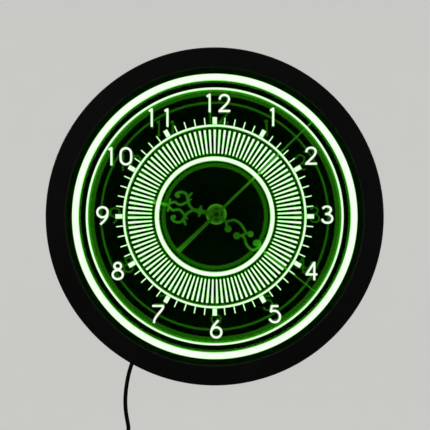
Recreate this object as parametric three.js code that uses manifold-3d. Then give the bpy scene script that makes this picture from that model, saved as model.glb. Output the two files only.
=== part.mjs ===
// Edge-lit acrylic wall clock: a moulded case, an engraved acrylic dial lit from its rim, a quartz
// movement with three hands, and a low-voltage lead with an inline switch and a USB plug.
// Millimetres, +Z up. The dial faces -Y and the wall is the plane y = 0. The origin is the point where
// the wall screw bears in the keyhole of the back cover.

import * as THREE from 'three';
import { mergeVertices } from 'three/addons/utils/BufferGeometryUtils.js';
import Module from 'manifold-3d';

const wasm = await Module();
wasm.setup();

// ---------------------------------------------------------------- driving dimensions

const FIT = 0.3; // gap between pieces that rest on or in each other
const RING_SIDES = 60; // facets of the large round pieces
const ROUND_SIDES = 16; // facets of small round pieces

// case
const CASE_RADIUS = 150;
const CASE_DEPTH = 52;
const SKIRT_WALL = 2.5;
const FLANGE_WIDTH = 17.7;
const FLANGE_THICK = 3;
const COVER_THICK = 2.5;
const SCREW_COUNT = 6;
const SCREW_INSET = 7.5; // screw circle inside the outer rim
const BOSS_RADIUS = 3.2;
const BOSS_LENGTH = 16;
const SCREW_HEAD_RADIUS = 2.7;
const SCREW_HEAD_HEIGHT = 1.5;
const SCREW_RADIUS = 1.4;
const SCREW_LENGTH = 12;
const GLAND_CLOCK_ANGLE = 210; // the lead leaves towards 7 o'clock
const GLAND_BACK = 10; // distance of the lead's exit from the wall

// dial, light and hand space
const ACRYLIC_THICK = 5;
const ACRYLIC_COVER = 3.7; // how far the flange covers the acrylic
const EDGE_GAP = 0.6; // acrylic edge to light strip
const STRIP_THICK = 1.6;
const CARRIER_WALL = 2.4;
const CARRIER_INSET = 2; // the wall of the hand space inside the acrylic's edge
const PLATE_THICK = 3;
const PLATE_OVERLAP = 2.3;
const RIB_WALL = 2.5;
const RIB_INSET = 0.5;
const SECOND_TIP_CLEARANCE = 10.5;
const MINUTE_TIP_CLEARANCE = 16.6;
const HUB = [1.5, 1.9]; // the hands turn this far right of and above the dial's centre

// keyhole hanger
const HANGER_INSET = 26; // wall screw inside the rib of the back cover
const KEYHOLE_SLOT = 4.8;
const KEYHOLE_ENTRY = 9.6;
const KEYHOLE_TRAVEL = 9;
const HANGER_WIDTH = 44;
const HANGER_HEIGHT = 26;
const HANGER_THICK = 1.2;

// movement: outer shell and AA cell
const CELL_LENGTH = 50.5;
const CELL_DIAMETER = 14.2;
const CELL_NUB = 1.1;
const CELL_END_GAP = 1.55;
const MOVEMENT_WALL = 1.2;
const MOVEMENT_TOP = 28; // above the hand arbor
const TRAIN_BELOW = 11.2; // room for the train below the hand arbor
const CHAMBER_DEPTH = 14.5;
const LID_THICK = 1.5;
const MOVEMENT_STAND = 3.6; // movement's back to the wall
const GASKET_THICK = 0.8;
const GASKET_RADIUS = 10;
const OPENING_MARGIN = 2; // back cover's cut-out round the movement
const OPENING_CORNER = 4;
const KNOB_RADIUS = 6;
const KNOB_THICK = 2.1;

// nested pipes on the dial's centre, from the inside out
const ARBOR_RADIUS = 0.55;
const PIPE_CLEARANCE = 0.2;
const CANNON_WALL = 0.85;
const HOUR_PIPE_WALL = 0.7;
const BUSH_WALL = 1.3;
const BUSH_LENGTH = 8.3; // in front of the lid
const WASHER_RADIUS = 9.8;
const WASHER_THICK = 0.8;
const NUT_ACROSS_FLATS = 11;
const NUT_THICK = 2.2;

// gear train: modules, teeth and levels behind the lid's inner face
const MOTION_MODULE = 0.45;
const INTERMEDIATE_DISTANCE = 9;
const THIRD_MODULE = 0.28;
const TEETH = {
  hourWheel: 32,
  motionPinion: 8,
  motionWheel: 30,
  cannonPinion: 10,
  knobPinion: 12,
  driveWheel: 60,
  intermediatePinion: 8,
  intermediateWheel: 64,
  secondsPinion: 8,
  secondsWheel: 40,
  thirdPinion: 8,
  thirdWheel: 36,
  rotorPinion: 6,
};
const FINE_WHEEL_TEETH = 30; // wheels from here up have pointed teeth
const LEVEL = {
  hourWheel: [0.4, 1.4],
  motionPinion: [0.4, 1.9],
  motionWheel: [1.9, 2.8],
  cannonPinion: [1.7, 2.9],
  driveWheel: [3.3, 4.1],
  intermediatePinion: [3.1, 4.8],
  intermediateWheel: [4.8, 5.5],
  secondsPinion: [4.6, 5.7],
  trainPlate: [5.9, 6.7],
  secondsWheel: [7.2, 7.9],
  thirdPinion: [7.0, 8.5],
  thirdWheel: [8.5, 9.2],
  rotorPinion: [8.3, 9.7],
  magnet: [9.7, 12.2],
  stator: [10.3, 11.1],
  board: [11.6, 12.4],
};

// hands: distance of each hand's middle from the dial plate, its clock angle and its thickness
const HAND_THICK = 0.6;
const HOUR_HAND = { stand: 4.6, angle: 281 };
const MINUTE_HAND = { stand: 7.7, angle: 128 };
const SECOND_HAND = { stand: 10.7, angle: 46 };
const SECOND_TAIL = 49;
const HOUR_SHARE = 0.6644; // the hour hand's length as a share of the minute hand's

// lead, its coil and what is on it
const CORD_DIAMETER = 4;
const CORD_SIDES = 10;
const COIL_CENTRE = [4.3, -115.8]; // x and z, from the lead's exit
const COIL_INNER = 16.2;
const COIL_OUTER = 29.8;
const COIL_BACK = 2; // coil to wall
const COIL_DEPTH = 16.6;
const TIE_WIDTH = 8;
const TIE_THICK = 1;
const SWITCH_SIZE = [14, 11, 36];
const SWITCH_TOP = -157.8;
const SLIDER_TRAVEL = 4;
const PLUG_TOP = -215.8;
const PLUG_BODY = [15.6, 8, 26];
const PLUG_SHELL = [12, 4.5, 12.4];

// ---------------------------------------------------------------- places that follow from them

const SKIRT_INNER = CASE_RADIUS - SKIRT_WALL;
const OPENING_RADIUS = CASE_RADIUS - FLANGE_WIDTH;
const ACRYLIC_RADIUS = OPENING_RADIUS + ACRYLIC_COVER;
const STRIP_INNER = ACRYLIC_RADIUS + EDGE_GAP;
const STRIP_OUTER = STRIP_INNER + STRIP_THICK;
const CARRIER_INNER = ACRYLIC_RADIUS - CARRIER_INSET;
const CARRIER_OUTER = STRIP_OUTER + FIT + CARRIER_WALL;
const PLATE_RADIUS = CARRIER_INNER + CARRIER_WALL + PLATE_OVERLAP;
const RIB_OUTER = CARRIER_INNER - RIB_INSET;
const RIB_INNER = RIB_OUTER - RIB_WALL;
const SCREW_CIRCLE = CASE_RADIUS - SCREW_INSET;
const COVER_RADIUS = SKIRT_INNER - FIT;
const HANGER_DROP = RIB_INNER - HANGER_INSET;

const FRONT_Y = -CASE_DEPTH;
const ACRYLIC_FRONT = FRONT_Y + FLANGE_THICK + FIT;
const ACRYLIC_BACK = ACRYLIC_FRONT + ACRYLIC_THICK;
const CASE_BACK = -MOVEMENT_STAND; // back of the movement's case
const LID_IN = CASE_BACK - CHAMBER_DEPTH;
const LID_FRONT = LID_IN - LID_THICK;
const GASKET_FRONT = LID_FRONT - FIT - GASKET_THICK;
const PLATE_BACK = GASKET_FRONT - FIT;
const PLATE_FRONT = PLATE_BACK - PLATE_THICK;
const BACK_WALL_IN = CASE_BACK - MOVEMENT_WALL;

const CANNON_BORE = ARBOR_RADIUS + PIPE_CLEARANCE;
const CANNON_RADIUS = CANNON_BORE + CANNON_WALL;
const HOUR_BORE = CANNON_RADIUS + PIPE_CLEARANCE;
const HOUR_PIPE_RADIUS = HOUR_BORE + HOUR_PIPE_WALL;
const BUSH_BORE = HOUR_PIPE_RADIUS + PIPE_CLEARANCE;
const BUSH_RADIUS = BUSH_BORE + BUSH_WALL;

const MOVEMENT_HALF = CELL_LENGTH / 2 + CELL_END_GAP + MOVEMENT_WALL;
const BAY_TOP = -TRAIN_BELOW - MOVEMENT_WALL;
const CELL_Z = BAY_TOP - FIT - CELL_DIAMETER / 2;
const BAY_BOTTOM = CELL_Z - CELL_DIAMETER / 2 - FIT;
const MOVEMENT_BOTTOM = BAY_BOTTOM - MOVEMENT_WALL;
const CELL_Y = LID_IN + FIT + CELL_DIAMETER / 2;

const DRIVE_MODULE = (2 * INTERMEDIATE_DISTANCE) / (TEETH.driveWheel + TEETH.intermediatePinion);
const INTERMEDIATE_MODULE = (2 * INTERMEDIATE_DISTANCE) / (TEETH.intermediateWheel + TEETH.secondsPinion);

// ---------------------------------------------------------------- shape tools

const radians = THREE.MathUtils.degToRad;

/** One closed triangle mesh: shared corners merged, triangles without area dropped, faces outwards. */
function closed(geometry) {
  const bare = geometry.clone();
  bare.deleteAttribute('normal');
  bare.deleteAttribute('uv');
  const merged = mergeVertices(bare, 1e-4);
  const index = merged.getIndex().array;
  const at = (i) => new THREE.Vector3().fromBufferAttribute(merged.getAttribute('position'), i);
  const triangles = [];
  let volume = 0;
  for (let i = 0; i < index.length; i += 3) {
    const [a, b, c] = [index[i], index[i + 1], index[i + 2]];
    if (a !== b && b !== c && c !== a) {
      triangles.push(a, b, c);
      volume += at(a).dot(at(b).cross(at(c)));
    }
  }
  merged.setIndex(volume < 0 ? triangles.reverse() : triangles);
  return merged;
}

function toSolid(geometry) {
  const mesh = closed(geometry);
  return new wasm.Manifold(new wasm.Mesh({
    numProp: 3,
    vertProperties: new Float32Array(mesh.getAttribute('position').array),
    triVerts: new Uint32Array(mesh.getIndex().array),
  }));
}

function toGeometry(solid) {
  const { vertProperties, triVerts } = solid.getMesh();
  const geometry = new THREE.BufferGeometry();
  geometry.setAttribute('position', new THREE.BufferAttribute(vertProperties, 3));
  geometry.setIndex(new THREE.BufferAttribute(triVerts, 1));
  return geometry;
}

function join(...geometries) {
  return toGeometry(geometries.map(toSolid).reduce((sum, next) => sum.add(next)));
}

function cut(geometry, ...tools) {
  return toGeometry(tools.map(toSolid).reduce((rest, tool) => rest.subtract(tool), toSolid(geometry)));
}

/** A solid of revolution about the Y axis; the profile is [radius, y] points round the section. */
function turned(profile, sides = RING_SIDES) {
  const points = profile.map(([radius, y]) => new THREE.Vector2(radius, y));
  if (profile[0][0] > 0) points.push(points[0].clone());
  return closed(new THREE.LatheGeometry(points, sides));
}

function tube(inner, outer, front, back, sides = RING_SIDES) {
  return turned([[inner, front], [outer, front], [outer, back], [inner, back]], sides);
}

function rod(radius, front, back, [x, z] = [0, 0], sides = ROUND_SIDES) {
  const geometry = new THREE.CylinderGeometry(radius, radius, back - front, sides);
  return closed(geometry.translate(x, (front + back) / 2, z));
}

function box([x0, x1], [y0, y1], [z0, z1]) {
  const geometry = new THREE.BoxGeometry(x1 - x0, y1 - y0, z1 - z0);
  return closed(geometry.translate((x0 + x1) / 2, (y0 + y1) / 2, (z0 + z1) / 2));
}

/** A flat plate parallel to the wall; the shape is drawn as seen from the front, x right and z up. */
function plate(shape, front, back, curveSegments = 12) {
  const geometry = new THREE.ExtrudeGeometry(shape, {
    depth: back - front,
    bevelEnabled: false,
    curveSegments,
  });
  return closed(geometry.rotateX(Math.PI / 2).translate(0, back, 0));
}

function roundedRectangle([x0, x1], [z0, z1], radius) {
  const shape = new THREE.Shape();
  shape.moveTo(x0 + radius, z0);
  shape.absarc(x1 - radius, z0 + radius, radius, -Math.PI / 2, 0);
  shape.absarc(x1 - radius, z1 - radius, radius, 0, Math.PI / 2);
  shape.absarc(x0 + radius, z1 - radius, radius, Math.PI / 2, Math.PI);
  shape.absarc(x0 + radius, z0 + radius, radius, Math.PI, Math.PI * 1.5);
  return shape;
}

/** The point at a clock angle and radius, as [x, z]. */
function onClock(angle, radius) {
  return [radius * Math.sin(radians(angle)), radius * Math.cos(radians(angle))];
}

// ---------------------------------------------------------------- finishes

const finishes = {
  mattBlack: { color: 0x0c0c0c, roughness: 0.75, metalness: 0 },
  glossBlack: { color: 0x050505, roughness: 0.06, metalness: 0 },
  clearAcrylic: { color: 0xdfeee0, roughness: 0.05, metalness: 0 },
  whitePlastic: { color: 0xd8d8d4, roughness: 0.6, metalness: 0 },
  greenLight: { color: 0x59ff4a, roughness: 0.4, metalness: 0 },
  handMetal: { color: 0xc9c9c2, roughness: 0.35, metalness: 0.9 },
  brass: { color: 0xc7a24a, roughness: 0.3, metalness: 0.95 },
  steel: { color: 0xa8abad, roughness: 0.35, metalness: 0.95 },
  rubber: { color: 0x151515, roughness: 0.9, metalness: 0 },
  copper: { color: 0xb06a34, roughness: 0.35, metalness: 0.8 },
  board: { color: 0x1f5b35, roughness: 0.55, metalness: 0 },
  cellSleeve: { color: 0x2b2f38, roughness: 0.35, metalness: 0.2 },
};

const clock = new THREE.Group();
const dialCentre = new THREE.Group();
dialCentre.position.z = -HANGER_DROP;
clock.add(dialCentre);
const hub = new THREE.Group();
hub.position.set(HUB[0], 0, HUB[1]);
dialCentre.add(hub);

function addPart(name, geometry, finish, parent = dialCentre) {
  const mesh = new THREE.Mesh(geometry, new THREE.MeshStandardMaterial(finishes[finish]));
  mesh.name = name;
  parent.add(mesh);
  return mesh;
}

// ---------------------------------------------------------------- case

const screwAngles = Array.from({ length: SCREW_COUNT }, (_, i) => (360 / SCREW_COUNT) * i);
const COVER_IN = -COVER_THICK;

/** Turns a piece made along the Y axis so that it points outwards at the lead's exit. */
function atGland(geometry) {
  const [x, z] = onClock(GLAND_CLOCK_ANGLE, 1);
  const outward = new THREE.Quaternion().setFromUnitVectors(
    new THREE.Vector3(0, 1, 0),
    new THREE.Vector3(x, 0, z),
  );
  return closed(geometry.applyQuaternion(outward).translate(0, -GLAND_BACK, 0));
}

const GLAND_NECK = 3;
const GLAND_HEAD = 4.6;
const GLAND_OUTSIDE = 2.6;
const GLAND_INSIDE = 2.2;
const GLAND_SINK = 1; // recess in the case round the gland's outer head

function bezel() {
  const drum = turned([
    [OPENING_RADIUS, FRONT_Y],
    [CASE_RADIUS, FRONT_Y],
    [CASE_RADIUS, 0],
    [SKIRT_INNER, 0],
    [SKIRT_INNER, FRONT_Y + FLANGE_THICK],
    [OPENING_RADIUS, FRONT_Y + FLANGE_THICK],
  ]);
  const bossBack = COVER_IN - FIT;
  const bosses = screwAngles.flatMap((angle) => {
    const web = box(
      [-BOSS_RADIUS / 2, BOSS_RADIUS / 2],
      [bossBack - BOSS_LENGTH, bossBack],
      [SCREW_CIRCLE, SKIRT_INNER + SKIRT_WALL / 2],
    );
    return [
      rod(BOSS_RADIUS, bossBack - BOSS_LENGTH, bossBack, onClock(angle, SCREW_CIRCLE)),
      web.rotateY(radians(angle)),
    ];
  });
  const holes = screwAngles.map((angle) => rod(
    SCREW_RADIUS + FIT,
    bossBack - SCREW_LENGTH,
    bossBack + 1,
    onClock(angle, SCREW_CIRCLE),
    8,
  ));
  const glandHole = atGland(rod(GLAND_NECK + FIT, SKIRT_INNER - 5, CASE_RADIUS + 5));
  const glandSeat = atGland(rod(GLAND_HEAD + FIT, CASE_RADIUS - GLAND_SINK, CASE_RADIUS + 5));
  const innerSeat = atGland(rod(GLAND_HEAD + FIT, SKIRT_INNER - 5, SKIRT_INNER + 0.2));
  return cut(join(drum, ...bosses), ...holes, glandHole, glandSeat, innerSeat);
}

const keyhole = () => [
  box(
    [-KEYHOLE_SLOT / 2, KEYHOLE_SLOT / 2],
    [-20, 5],
    [HANGER_DROP - KEYHOLE_TRAVEL, HANGER_DROP],
  ),
  rod(KEYHOLE_SLOT / 2, -20, 5, [0, HANGER_DROP]),
  rod(KEYHOLE_ENTRY / 2, -20, 5, [0, HANGER_DROP - KEYHOLE_TRAVEL]),
];

const HANGER_SCREW_INSET = 6;
const HANGER_SCREW_DROP = 5;
const hangerScrewPlaces = [-1, 1].map((side) => [
  side * (HANGER_WIDTH / 2 - HANGER_SCREW_INSET),
  HANGER_DROP - HANGER_SCREW_DROP,
]);
const HANGER_SCREW_HEAD = 2.6;
const HANGER_SCREW_HEIGHT = 1.4;
const HANGER_SCREW_RADIUS = 1.2;

function backCover() {
  const disc = turned([
    [0, 0],
    [COVER_RADIUS, 0],
    [COVER_RADIUS, COVER_IN],
    [RIB_OUTER, COVER_IN],
    [RIB_OUTER, PLATE_BACK + FIT],
    [RIB_INNER, PLATE_BACK + FIT],
    [RIB_INNER, COVER_IN],
    [0, COVER_IN],
  ]);
  const opening = plate(
    roundedRectangle(
      [-MOVEMENT_HALF - OPENING_MARGIN, MOVEMENT_HALF + OPENING_MARGIN],
      [MOVEMENT_BOTTOM - OPENING_MARGIN, MOVEMENT_TOP + OPENING_MARGIN],
      OPENING_CORNER,
    ),
    COVER_IN - 1,
    1,
    3,
  ).translate(HUB[0], 0, HUB[1]);
  const screwHoles = screwAngles.flatMap((angle) => [
    rod(SCREW_RADIUS + FIT, COVER_IN - 1, 1, onClock(angle, SCREW_CIRCLE), 8),
    rod(SCREW_HEAD_RADIUS + FIT, -SCREW_HEAD_HEIGHT - FIT, 1, onClock(angle, SCREW_CIRCLE)),
  ]);
  const pilotHoles = hangerScrewPlaces.map((place) => rod(HANGER_SCREW_RADIUS + FIT, -10, -0.8, place, 8));
  return cut(disc, opening, ...screwHoles, ...keyhole(), ...pilotHoles);
}

/** A pan-head screw driven from the back towards the front, its head's top at y = back. */
function backScrew(headRadius, headHeight, radius, length, back) {
  return turned([
    [0, back],
    [headRadius * 0.7, back],
    [headRadius, back - headHeight * 0.5],
    [headRadius, back - headHeight],
    [radius, back - headHeight],
    [radius, back - headHeight - length],
    [0, back - headHeight - length - radius],
  ], 12);
}

addPart('front_bezel', bezel(), 'mattBlack');
addPart('back_cover', backCover(), 'mattBlack');
screwAngles.forEach((angle, i) => {
  const screw = addPart(
    `case_screw_${i + 1}`,
    backScrew(SCREW_HEAD_RADIUS, SCREW_HEAD_HEIGHT - FIT, SCREW_RADIUS, SCREW_LENGTH - 3, -FIT),
    'steel',
  );
  const [x, z] = onClock(angle, SCREW_CIRCLE);
  screw.position.set(x, 0, z);
});

const HANGER_BACK = COVER_IN - FIT;
const HANGER_RISE = 8; // hanger plate's top edge above the wall screw
const HANGER_CORNER = 4;
const hangerOutline = roundedRectangle(
  [-HANGER_WIDTH / 2, HANGER_WIDTH / 2],
  [HANGER_DROP - HANGER_HEIGHT + HANGER_RISE, HANGER_DROP + HANGER_RISE],
  HANGER_CORNER,
);
addPart('hanger_plate', cut(
  plate(hangerOutline, HANGER_BACK - HANGER_THICK, HANGER_BACK, 4),
  ...keyhole(),
  ...hangerScrewPlaces.map((place) => rod(HANGER_SCREW_RADIUS + FIT, -10, 1, place, 8)),
), 'steel');

hangerScrewPlaces.forEach(([x, z], i) => {
  const front = HANGER_BACK - HANGER_THICK - FIT;
  const screw = addPart(`hanger_screw_${i + 1}`, turned([
    [0, front - HANGER_SCREW_HEIGHT],
    [HANGER_SCREW_HEAD * 0.7, front - HANGER_SCREW_HEIGHT],
    [HANGER_SCREW_HEAD, front - HANGER_SCREW_HEIGHT / 2],
    [HANGER_SCREW_HEAD, front],
    [HANGER_SCREW_RADIUS, front],
    [HANGER_SCREW_RADIUS, -1.5],
    [0, -1.1],
  ], 12), 'steel');
  screw.position.set(x, 0, z);
});

addPart('cord_gland', atGland(turned([
  [0, SKIRT_INNER - FIT - GLAND_INSIDE],
  [GLAND_HEAD - 0.8, SKIRT_INNER - FIT - GLAND_INSIDE],
  [GLAND_HEAD, SKIRT_INNER - FIT],
  [GLAND_NECK, SKIRT_INNER - FIT],
  [GLAND_NECK, CASE_RADIUS - 0.6],
  [GLAND_HEAD, CASE_RADIUS - 0.6],
  [GLAND_HEAD, CASE_RADIUS + 0.6],
  [CORD_DIAMETER / 2 + 0.5, CASE_RADIUS + GLAND_OUTSIDE],
  [0, CASE_RADIUS + GLAND_OUTSIDE],
], ROUND_SIDES)), 'rubber');

// ---------------------------------------------------------------- dial, light and dial plate

addPart('acrylic_dial', turned([
  [0, ACRYLIC_FRONT],
  [ACRYLIC_RADIUS, ACRYLIC_FRONT],
  [ACRYLIC_RADIUS, ACRYLIC_BACK],
  [0, ACRYLIC_BACK],
]), 'clearAcrylic');

addPart('led_carrier_ring', turned([
  [CARRIER_INNER, ACRYLIC_BACK + FIT],
  [STRIP_OUTER + FIT, ACRYLIC_BACK + FIT],
  [STRIP_OUTER + FIT, ACRYLIC_FRONT],
  [CARRIER_OUTER, ACRYLIC_FRONT],
  [CARRIER_OUTER, ACRYLIC_BACK + FIT + CARRIER_WALL],
  [CARRIER_INNER + CARRIER_WALL, ACRYLIC_BACK + FIT + CARRIER_WALL],
  [CARRIER_INNER + CARRIER_WALL, PLATE_FRONT - FIT],
  [CARRIER_INNER, PLATE_FRONT - FIT],
]), 'mattBlack');

/** A flat arc band between two radii, open for a few degrees at the clock angle where it is fed. */
function openRing(inner, outer, openAt, openFor) {
  const start = radians(90 - openAt + openFor / 2);
  const end = start + radians(360 - openFor);
  const shape = new THREE.Shape();
  shape.absarc(0, 0, outer, start, end);
  shape.absarc(0, 0, inner, end, start, true);
  return shape;
}

addPart('led_strip', plate(
  openRing(STRIP_INNER, STRIP_OUTER, GLAND_CLOCK_ANGLE, 4),
  ACRYLIC_FRONT,
  ACRYLIC_BACK,
  RING_SIDES,
), 'greenLight');

const DIAL_HOLE = BUSH_RADIUS + FIT;
addPart('dial_plate', cut(
  turned([[0, PLATE_FRONT], [PLATE_RADIUS, PLATE_FRONT], [PLATE_RADIUS, PLATE_BACK], [0, PLATE_BACK]]),
  rod(DIAL_HOLE, PLATE_FRONT - 1, PLATE_BACK + 1, HUB, 24),
), 'glossBlack');

const LED_LEAD_GAP = 0.9; // the light's wire to the gland's inner face, round its slanting end
const leadRadius = (SKIRT_INNER + CARRIER_OUTER) / 2;
const leadPoints = [
  [SKIRT_INNER - FIT - GLAND_INSIDE - LED_LEAD_GAP, -GLAND_BACK],
  [leadRadius - 2.2, -GLAND_BACK - 1.6],
  [leadRadius - 2.6, -GLAND_BACK - 7],
  [leadRadius - 1, ACRYLIC_BACK + 16],
  [leadRadius, ACRYLIC_BACK + 6],
  [leadRadius, ACRYLIC_BACK],
  [CARRIER_OUTER + 1.6, ACRYLIC_BACK - ACRYLIC_THICK / 2],
  [CARRIER_OUTER + FIT, ACRYLIC_BACK - ACRYLIC_THICK / 2],
].map(([radius, y]) => {
  const [x, z] = onClock(GLAND_CLOCK_ANGLE, radius);
  return new THREE.Vector3(x, y, z);
});

/** A solid round tube along a smooth curve through the points. */
function cordTube(points, diameter, steps, sides = CORD_SIDES) {
  const section = new THREE.Shape(Array.from({ length: sides }, (_, i) => {
    const angle = (2 * Math.PI * i) / sides;
    return new THREE.Vector2(Math.cos(angle), Math.sin(angle)).multiplyScalar(diameter / 2);
  }));
  const path = new THREE.CatmullRomCurve3(points, false, 'centripetal');
  return closed(new THREE.ExtrudeGeometry(section, { steps, extrudePath: path, bevelEnabled: false }));
}

addPart('led_lead', cordTube(leadPoints, 1.8, 16, 6), 'rubber');

// ---------------------------------------------------------------- gears

const atLevel = ([front, back]) => [LID_IN + front, LID_IN + back];

/**
 * A spur gear with narrow straight-sided teeth, pointed on the fine wheels. The first tooth points along
 * `phase`, an angle in radians that runs from +x towards +z.
 */
function gear(teeth, size, level, phase, [x, z] = [0, 0], bore = 0) {
  const pitch = (2 * Math.PI) / teeth;
  const root = size * (teeth / 2 - 1.15);
  const tip = size * (teeth / 2 + 0.8);
  const flatTooth = [[-0.2, root], [-0.09, tip], [0.09, tip], [0.2, root]];
  const pointedTooth = [[-0.2, root], [0, tip], [0.2, root]];
  const corners = teeth < FINE_WHEEL_TEETH ? flatTooth : pointedTooth;
  const outline = Array.from({ length: teeth }, (_, i) => corners.map(([share, radius]) => {
    const angle = phase + (i + share) * pitch;
    return new THREE.Vector2(radius * Math.cos(angle), radius * Math.sin(angle));
  })).flat();
  const shape = new THREE.Shape(outline);
  if (bore > 0) shape.holes.push(new THREE.Path().absarc(0, 0, bore, 0, 2 * Math.PI, true));
  const [front, back] = atLevel(level);
  return plate(shape, front, back, 8).translate(x, 0, z);
}

/** The phase of the second gear of a meshing pair, so that its tooth gap faces the first one's tooth. */
function meshPhase(firstPhase, firstTeeth, secondTeeth, direction) {
  const firstShare = (direction - firstPhase) / ((2 * Math.PI) / firstTeeth);
  return direction + Math.PI - (0.5 - firstShare) * ((2 * Math.PI) / secondTeeth);
}

const heading = (from, to) => Math.atan2(to[1] - from[1], to[0] - from[0]);
const ahead = ([x, z], angle, distance) => [x + distance * Math.cos(angle), z + distance * Math.sin(angle)];

const CENTRE = [0, 0];
const MOTION_DISTANCE = (MOTION_MODULE * (TEETH.hourWheel + TEETH.motionPinion)) / 2;
const motionAt = ahead(CENTRE, Math.PI, MOTION_DISTANCE);
const knobAt = ahead(
  motionAt,
  radians(127),
  (MOTION_MODULE * (TEETH.motionWheel + TEETH.knobPinion)) / 2,
);
const intermediateAt = ahead(CENTRE, radians(30), INTERMEDIATE_DISTANCE);
const thirdAt = ahead(
  CENTRE,
  radians(135),
  (THIRD_MODULE * (TEETH.secondsWheel + TEETH.thirdPinion)) / 2,
);
const rotorAt = ahead(
  thirdAt,
  radians(120),
  (THIRD_MODULE * (TEETH.thirdWheel + TEETH.rotorPinion)) / 2,
);

const PIVOT_RADIUS = 0.5;
const PIVOT_CLEARANCE = 0.15;
const PIVOT_DEPTH = 0.6;
const KNOB_ARBOR = 1;

const phases = {};
phases.cannonPinion = 0;
phases.hourWheel = 0;
phases.motionWheel = meshPhase(
  phases.cannonPinion,
  TEETH.cannonPinion,
  TEETH.motionWheel,
  heading(CENTRE, motionAt),
);
phases.motionPinion = meshPhase(
  phases.hourWheel,
  TEETH.hourWheel,
  TEETH.motionPinion,
  heading(CENTRE, motionAt),
);
phases.knobPinion = meshPhase(
  phases.motionWheel,
  TEETH.motionWheel,
  TEETH.knobPinion,
  heading(motionAt, knobAt),
);
phases.driveWheel = 0;
phases.intermediatePinion = meshPhase(
  phases.driveWheel,
  TEETH.driveWheel,
  TEETH.intermediatePinion,
  heading(CENTRE, intermediateAt),
);
phases.secondsPinion = 0;
phases.intermediateWheel = meshPhase(
  phases.secondsPinion,
  TEETH.secondsPinion,
  TEETH.intermediateWheel,
  heading(CENTRE, intermediateAt),
);
phases.secondsWheel = 0;
phases.thirdPinion = meshPhase(
  phases.secondsWheel,
  TEETH.secondsWheel,
  TEETH.thirdPinion,
  heading(CENTRE, thirdAt),
);
phases.thirdWheel = 0;
phases.rotorPinion = meshPhase(
  phases.thirdWheel,
  TEETH.thirdWheel,
  TEETH.rotorPinion,
  heading(thirdAt, rotorAt),
);

const REAR_PIVOT_END = BACK_WALL_IN + PIVOT_DEPTH;
const LID_PIVOT_END = LID_IN - PIVOT_DEPTH;
const [PLATE_LEVEL_FRONT, PLATE_LEVEL_BACK] = atLevel(LEVEL.trainPlate);
const hourSeat = PLATE_FRONT - HOUR_HAND.stand - 1;
const minuteSeat = PLATE_FRONT - MINUTE_HAND.stand - 0.9;
const secondSeat = PLATE_FRONT - SECOND_HAND.stand - 0.4;

addPart('hour_wheel', cut(
  join(
    gear(TEETH.hourWheel, MOTION_MODULE, LEVEL.hourWheel, phases.hourWheel),
    rod(HOUR_PIPE_RADIUS, hourSeat, LID_IN + LEVEL.hourWheel[1] - 0.2),
  ),
  rod(HOUR_BORE, hourSeat - 1, LID_IN + LEVEL.hourWheel[1] + 1),
), 'whitePlastic', hub);

addPart('cannon_pipe', cut(
  join(
    gear(TEETH.cannonPinion, MOTION_MODULE, LEVEL.cannonPinion, phases.cannonPinion),
    rod(CANNON_RADIUS, minuteSeat, LID_IN + LEVEL.driveWheel[1]),
  ),
  rod(CANNON_BORE, minuteSeat - 1, LID_IN + LEVEL.driveWheel[1] + 1),
), 'brass', hub);

addPart('motion_wheel', join(
  gear(TEETH.motionWheel, MOTION_MODULE, LEVEL.motionWheel, phases.motionWheel, motionAt),
  gear(TEETH.motionPinion, MOTION_MODULE, LEVEL.motionPinion, phases.motionPinion, motionAt),
  rod(PIVOT_RADIUS, LID_PIVOT_END, PLATE_LEVEL_BACK - 0.1, motionAt, 8),
), 'whitePlastic', hub);

addPart('minute_drive_wheel', gear(
  TEETH.driveWheel,
  DRIVE_MODULE,
  LEVEL.driveWheel,
  phases.driveWheel,
  CENTRE,
  CANNON_RADIUS + PIPE_CLEARANCE,
), 'whitePlastic', hub);

addPart('intermediate_wheel', join(
  gear(
    TEETH.intermediateWheel,
    INTERMEDIATE_MODULE,
    LEVEL.intermediateWheel,
    phases.intermediateWheel,
    intermediateAt,
  ),
  gear(
    TEETH.intermediatePinion,
    DRIVE_MODULE,
    LEVEL.intermediatePinion,
    phases.intermediatePinion,
    intermediateAt,
  ),
  rod(PIVOT_RADIUS, LID_PIVOT_END, REAR_PIVOT_END, intermediateAt, 8),
), 'whitePlastic', hub);

addPart('seconds_wheel', join(
  gear(TEETH.secondsWheel, THIRD_MODULE, LEVEL.secondsWheel, phases.secondsWheel),
  gear(TEETH.secondsPinion, INTERMEDIATE_MODULE, LEVEL.secondsPinion, phases.secondsPinion),
  rod(ARBOR_RADIUS, secondSeat, REAR_PIVOT_END),
), 'whitePlastic', hub);

addPart('third_wheel', join(
  gear(TEETH.thirdWheel, THIRD_MODULE, LEVEL.thirdWheel, phases.thirdWheel, thirdAt),
  gear(TEETH.thirdPinion, THIRD_MODULE, LEVEL.thirdPinion, phases.thirdPinion, thirdAt),
  rod(PIVOT_RADIUS, PLATE_LEVEL_FRONT + 0.1, REAR_PIVOT_END, thirdAt, 8),
), 'whitePlastic', hub);

const MAGNET_RADIUS = 2.6;
const [MAGNET_FRONT, MAGNET_BACK] = atLevel(LEVEL.magnet);
addPart('rotor', join(
  gear(TEETH.rotorPinion, THIRD_MODULE, LEVEL.rotorPinion, phases.rotorPinion, rotorAt),
  rod(MAGNET_RADIUS, MAGNET_FRONT, MAGNET_BACK, rotorAt),
  rod(PIVOT_RADIUS, PLATE_LEVEL_FRONT + 0.1, REAR_PIVOT_END, rotorAt, 8),
), 'steel', hub);

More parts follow.
